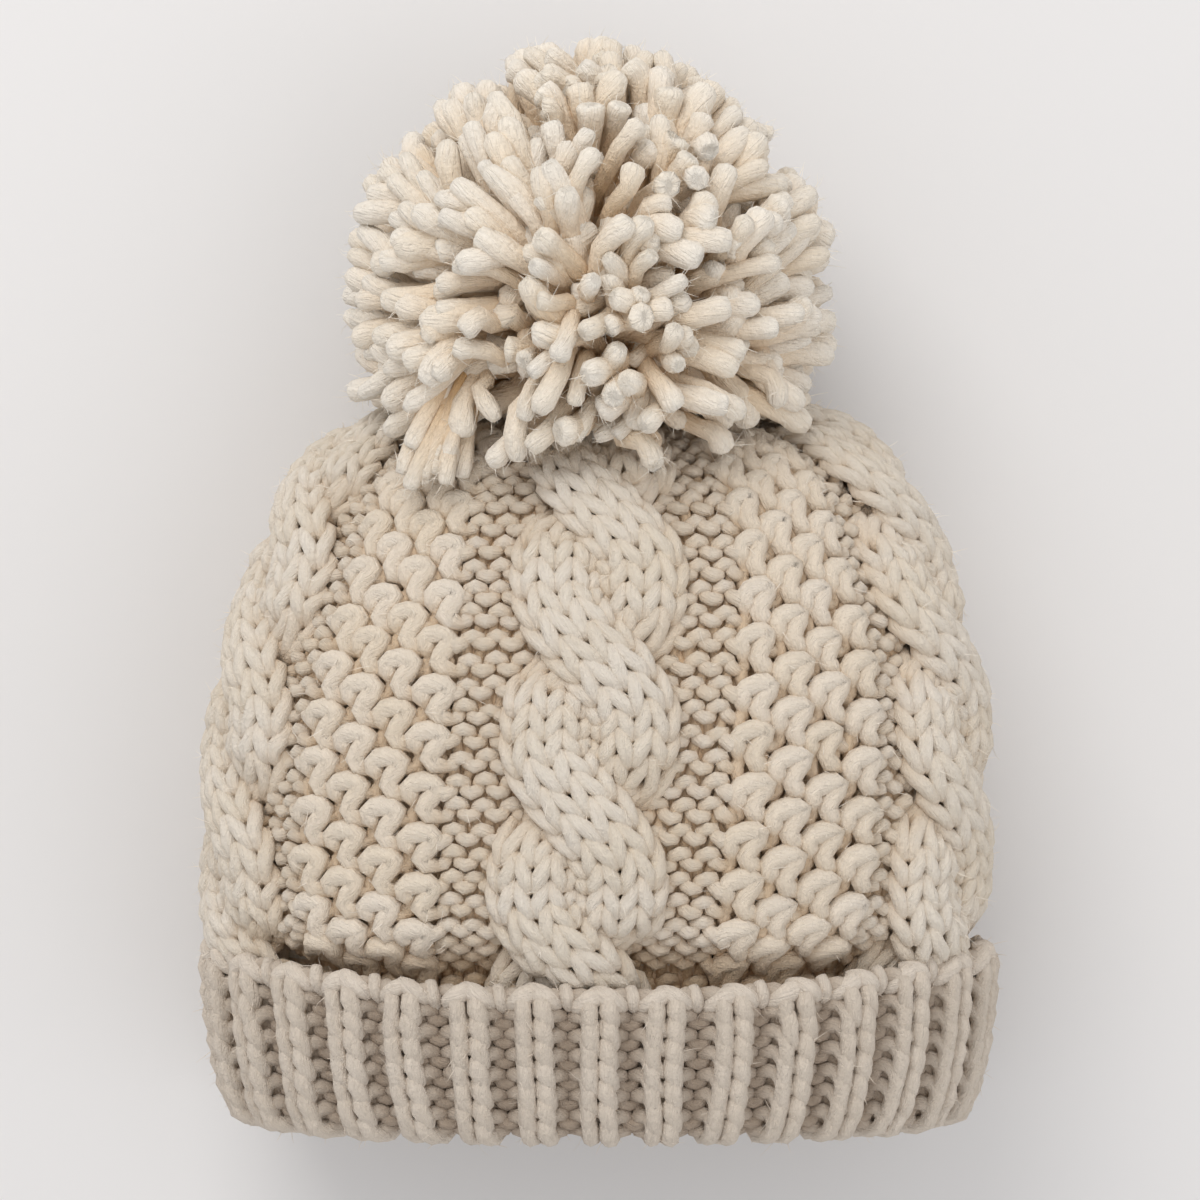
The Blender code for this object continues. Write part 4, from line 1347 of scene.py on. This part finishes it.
@dataclass(frozen=True)
class Studio:
    """A pale floor, soft light from above and the camera straight over the hat."""

    camera_place: tuple = (0.0, -0.005, 1.2)
    lens: float = 120.6
    floor_colour: tuple = (0.80, 0.785, 0.775)
    floor_grain: float = 2.5
    floor_reach: float = 4.0
    world_colour: tuple = (0.985, 0.985, 1.0, 1.0)
    world_strength: float = 0.70
    key_power: float = 12.5
    fill_power: float = 3.5

    def floor(self) -> None:
        """The floor that the hat lies on."""
        far = self.floor_reach
        points = np.array([(-far, -far, 0.0), (far, -far, 0.0), (far, far, 0.0), (-far, far, 0.0)])
        mesh = new_mesh("floor", points, [np.array([[0, 1, 2, 3]])])
        obj = into_scene("floor", mesh)
        material = bpy.data.materials.new("floor paper")
        material.use_nodes = True
        wiring = Wiring(material.node_tree)
        place = wiring.add("TexCoord", {})["Object"]
        grain = wiring.add("TexNoise", {"Vector": place, "Scale": self.floor_grain})["Fac"]
        paler = tuple(min(1.0, value * 1.02) for value in self.floor_colour)
        parts = {"Factor": grain, "A": (*self.floor_colour, 1.0), "B": (*paler, 1.0)}
        paper = wiring.add("Mix", parts, data_type="RGBA")["Result"]
        finish = {"Base Color": paper, "Roughness": 0.9, "Specular IOR Level": 0.1}
        wiring.feed(material.node_tree.nodes["Principled BSDF"].inputs, finish)
        mesh.materials.append(material)
        obj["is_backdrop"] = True

    def light(self, name: str, place: tuple, size: float, power: float, colour: tuple) -> None:
        """One large soft light aimed at the hat."""
        data = bpy.data.lights.new(name, "AREA")
        data.shape = "SQUARE"
        data.size = size
        data.energy = power
        data.color = colour
        obj = into_scene(name, data)
        obj.location = place
        aim = obj.location.copy()
        aim.negate()
        obj.rotation_euler = aim.to_track_quat("-Z", "Y").to_euler()

    def build(self) -> None:
        """Sets the floor, the lights, the world and the camera."""
        self.floor()
        self.light("key light", (-0.50, 1.15, 1.20), 1.1, self.key_power, (1.0, 0.985, 0.965))
        self.light("fill light", (0.9, -0.5, 1.3), 1.4, self.fill_power, (0.98, 0.985, 1.0))
        world = bpy.data.worlds.new("studio")
        bpy.context.scene.world = world
        world.use_nodes = True
        background = world.node_tree.nodes["Background"]
        background.inputs["Color"].default_value = self.world_colour
        background.inputs["Strength"].default_value = self.world_strength
        data = bpy.data.cameras.new("camera")
        data.lens = self.lens
        data.sensor_width = 36.0
        camera = into_scene("camera", data)
        camera.location = self.camera_place
        bpy.context.scene.camera = camera
        view = bpy.context.scene.view_settings
        view.view_transform = "Standard"
        view.look = "None"


def corners() -> list[list[float]]:
    """The two corners of the shown object's box."""
    low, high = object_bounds()
    return [list(low), list(high)]


def main() -> None:
    """Loads the hat's solids and dresses them."""
    logging.basicConfig(level=logging.INFO, format="%(message)s")
    for obj in list(bpy.data.objects):
        bpy.data.objects.remove(obj, do_unlink=True)
    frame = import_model()
    form = HatForm()
    body_wool = WoolFinish().material("crown wool")
    # The cuff's wool carries painted shade over the whole cuff.
    cuff_wool = SHADED_CUFF_FINISH.material("cuff wool")
    pompom_wool = POMPOM_FINISH.material("pompom wool")
    knitting = KnittedBody(form).build(body_wool)
    rib = RibbedCuff(form).build(cuff_wool)
    strands = Pompom(form).build(pompom_wool)
    Tie().build(frame, WoolFinish().material("tie wool"))
    middle, heart = (0.0, 0.0, 0.058), (0.0, 0.087, 0.058)
    crown_fibres = StrayFibres("crown_fibres", "crown", Wool.CROWN, middle, 0.35)
    crown_fibres.build(knitting, 11000, 31, body_wool)
    cuff_fibres = StrayFibres("cuff_fibres", "ribbed_cuff", Wool.CUFF, middle, 0.35)
    cuff_fibres.build(rib, 4500, 32, cuff_wool)
    pompom_fibres = StrayFibres("pompom_fibres", "pompom", Wool.POMPOM, heart, 1.0)
    pompom_fibres.build(strands, 14000, 33, pompom_wool)
    Studio().build()


if __name__ == "__main__":
    main()
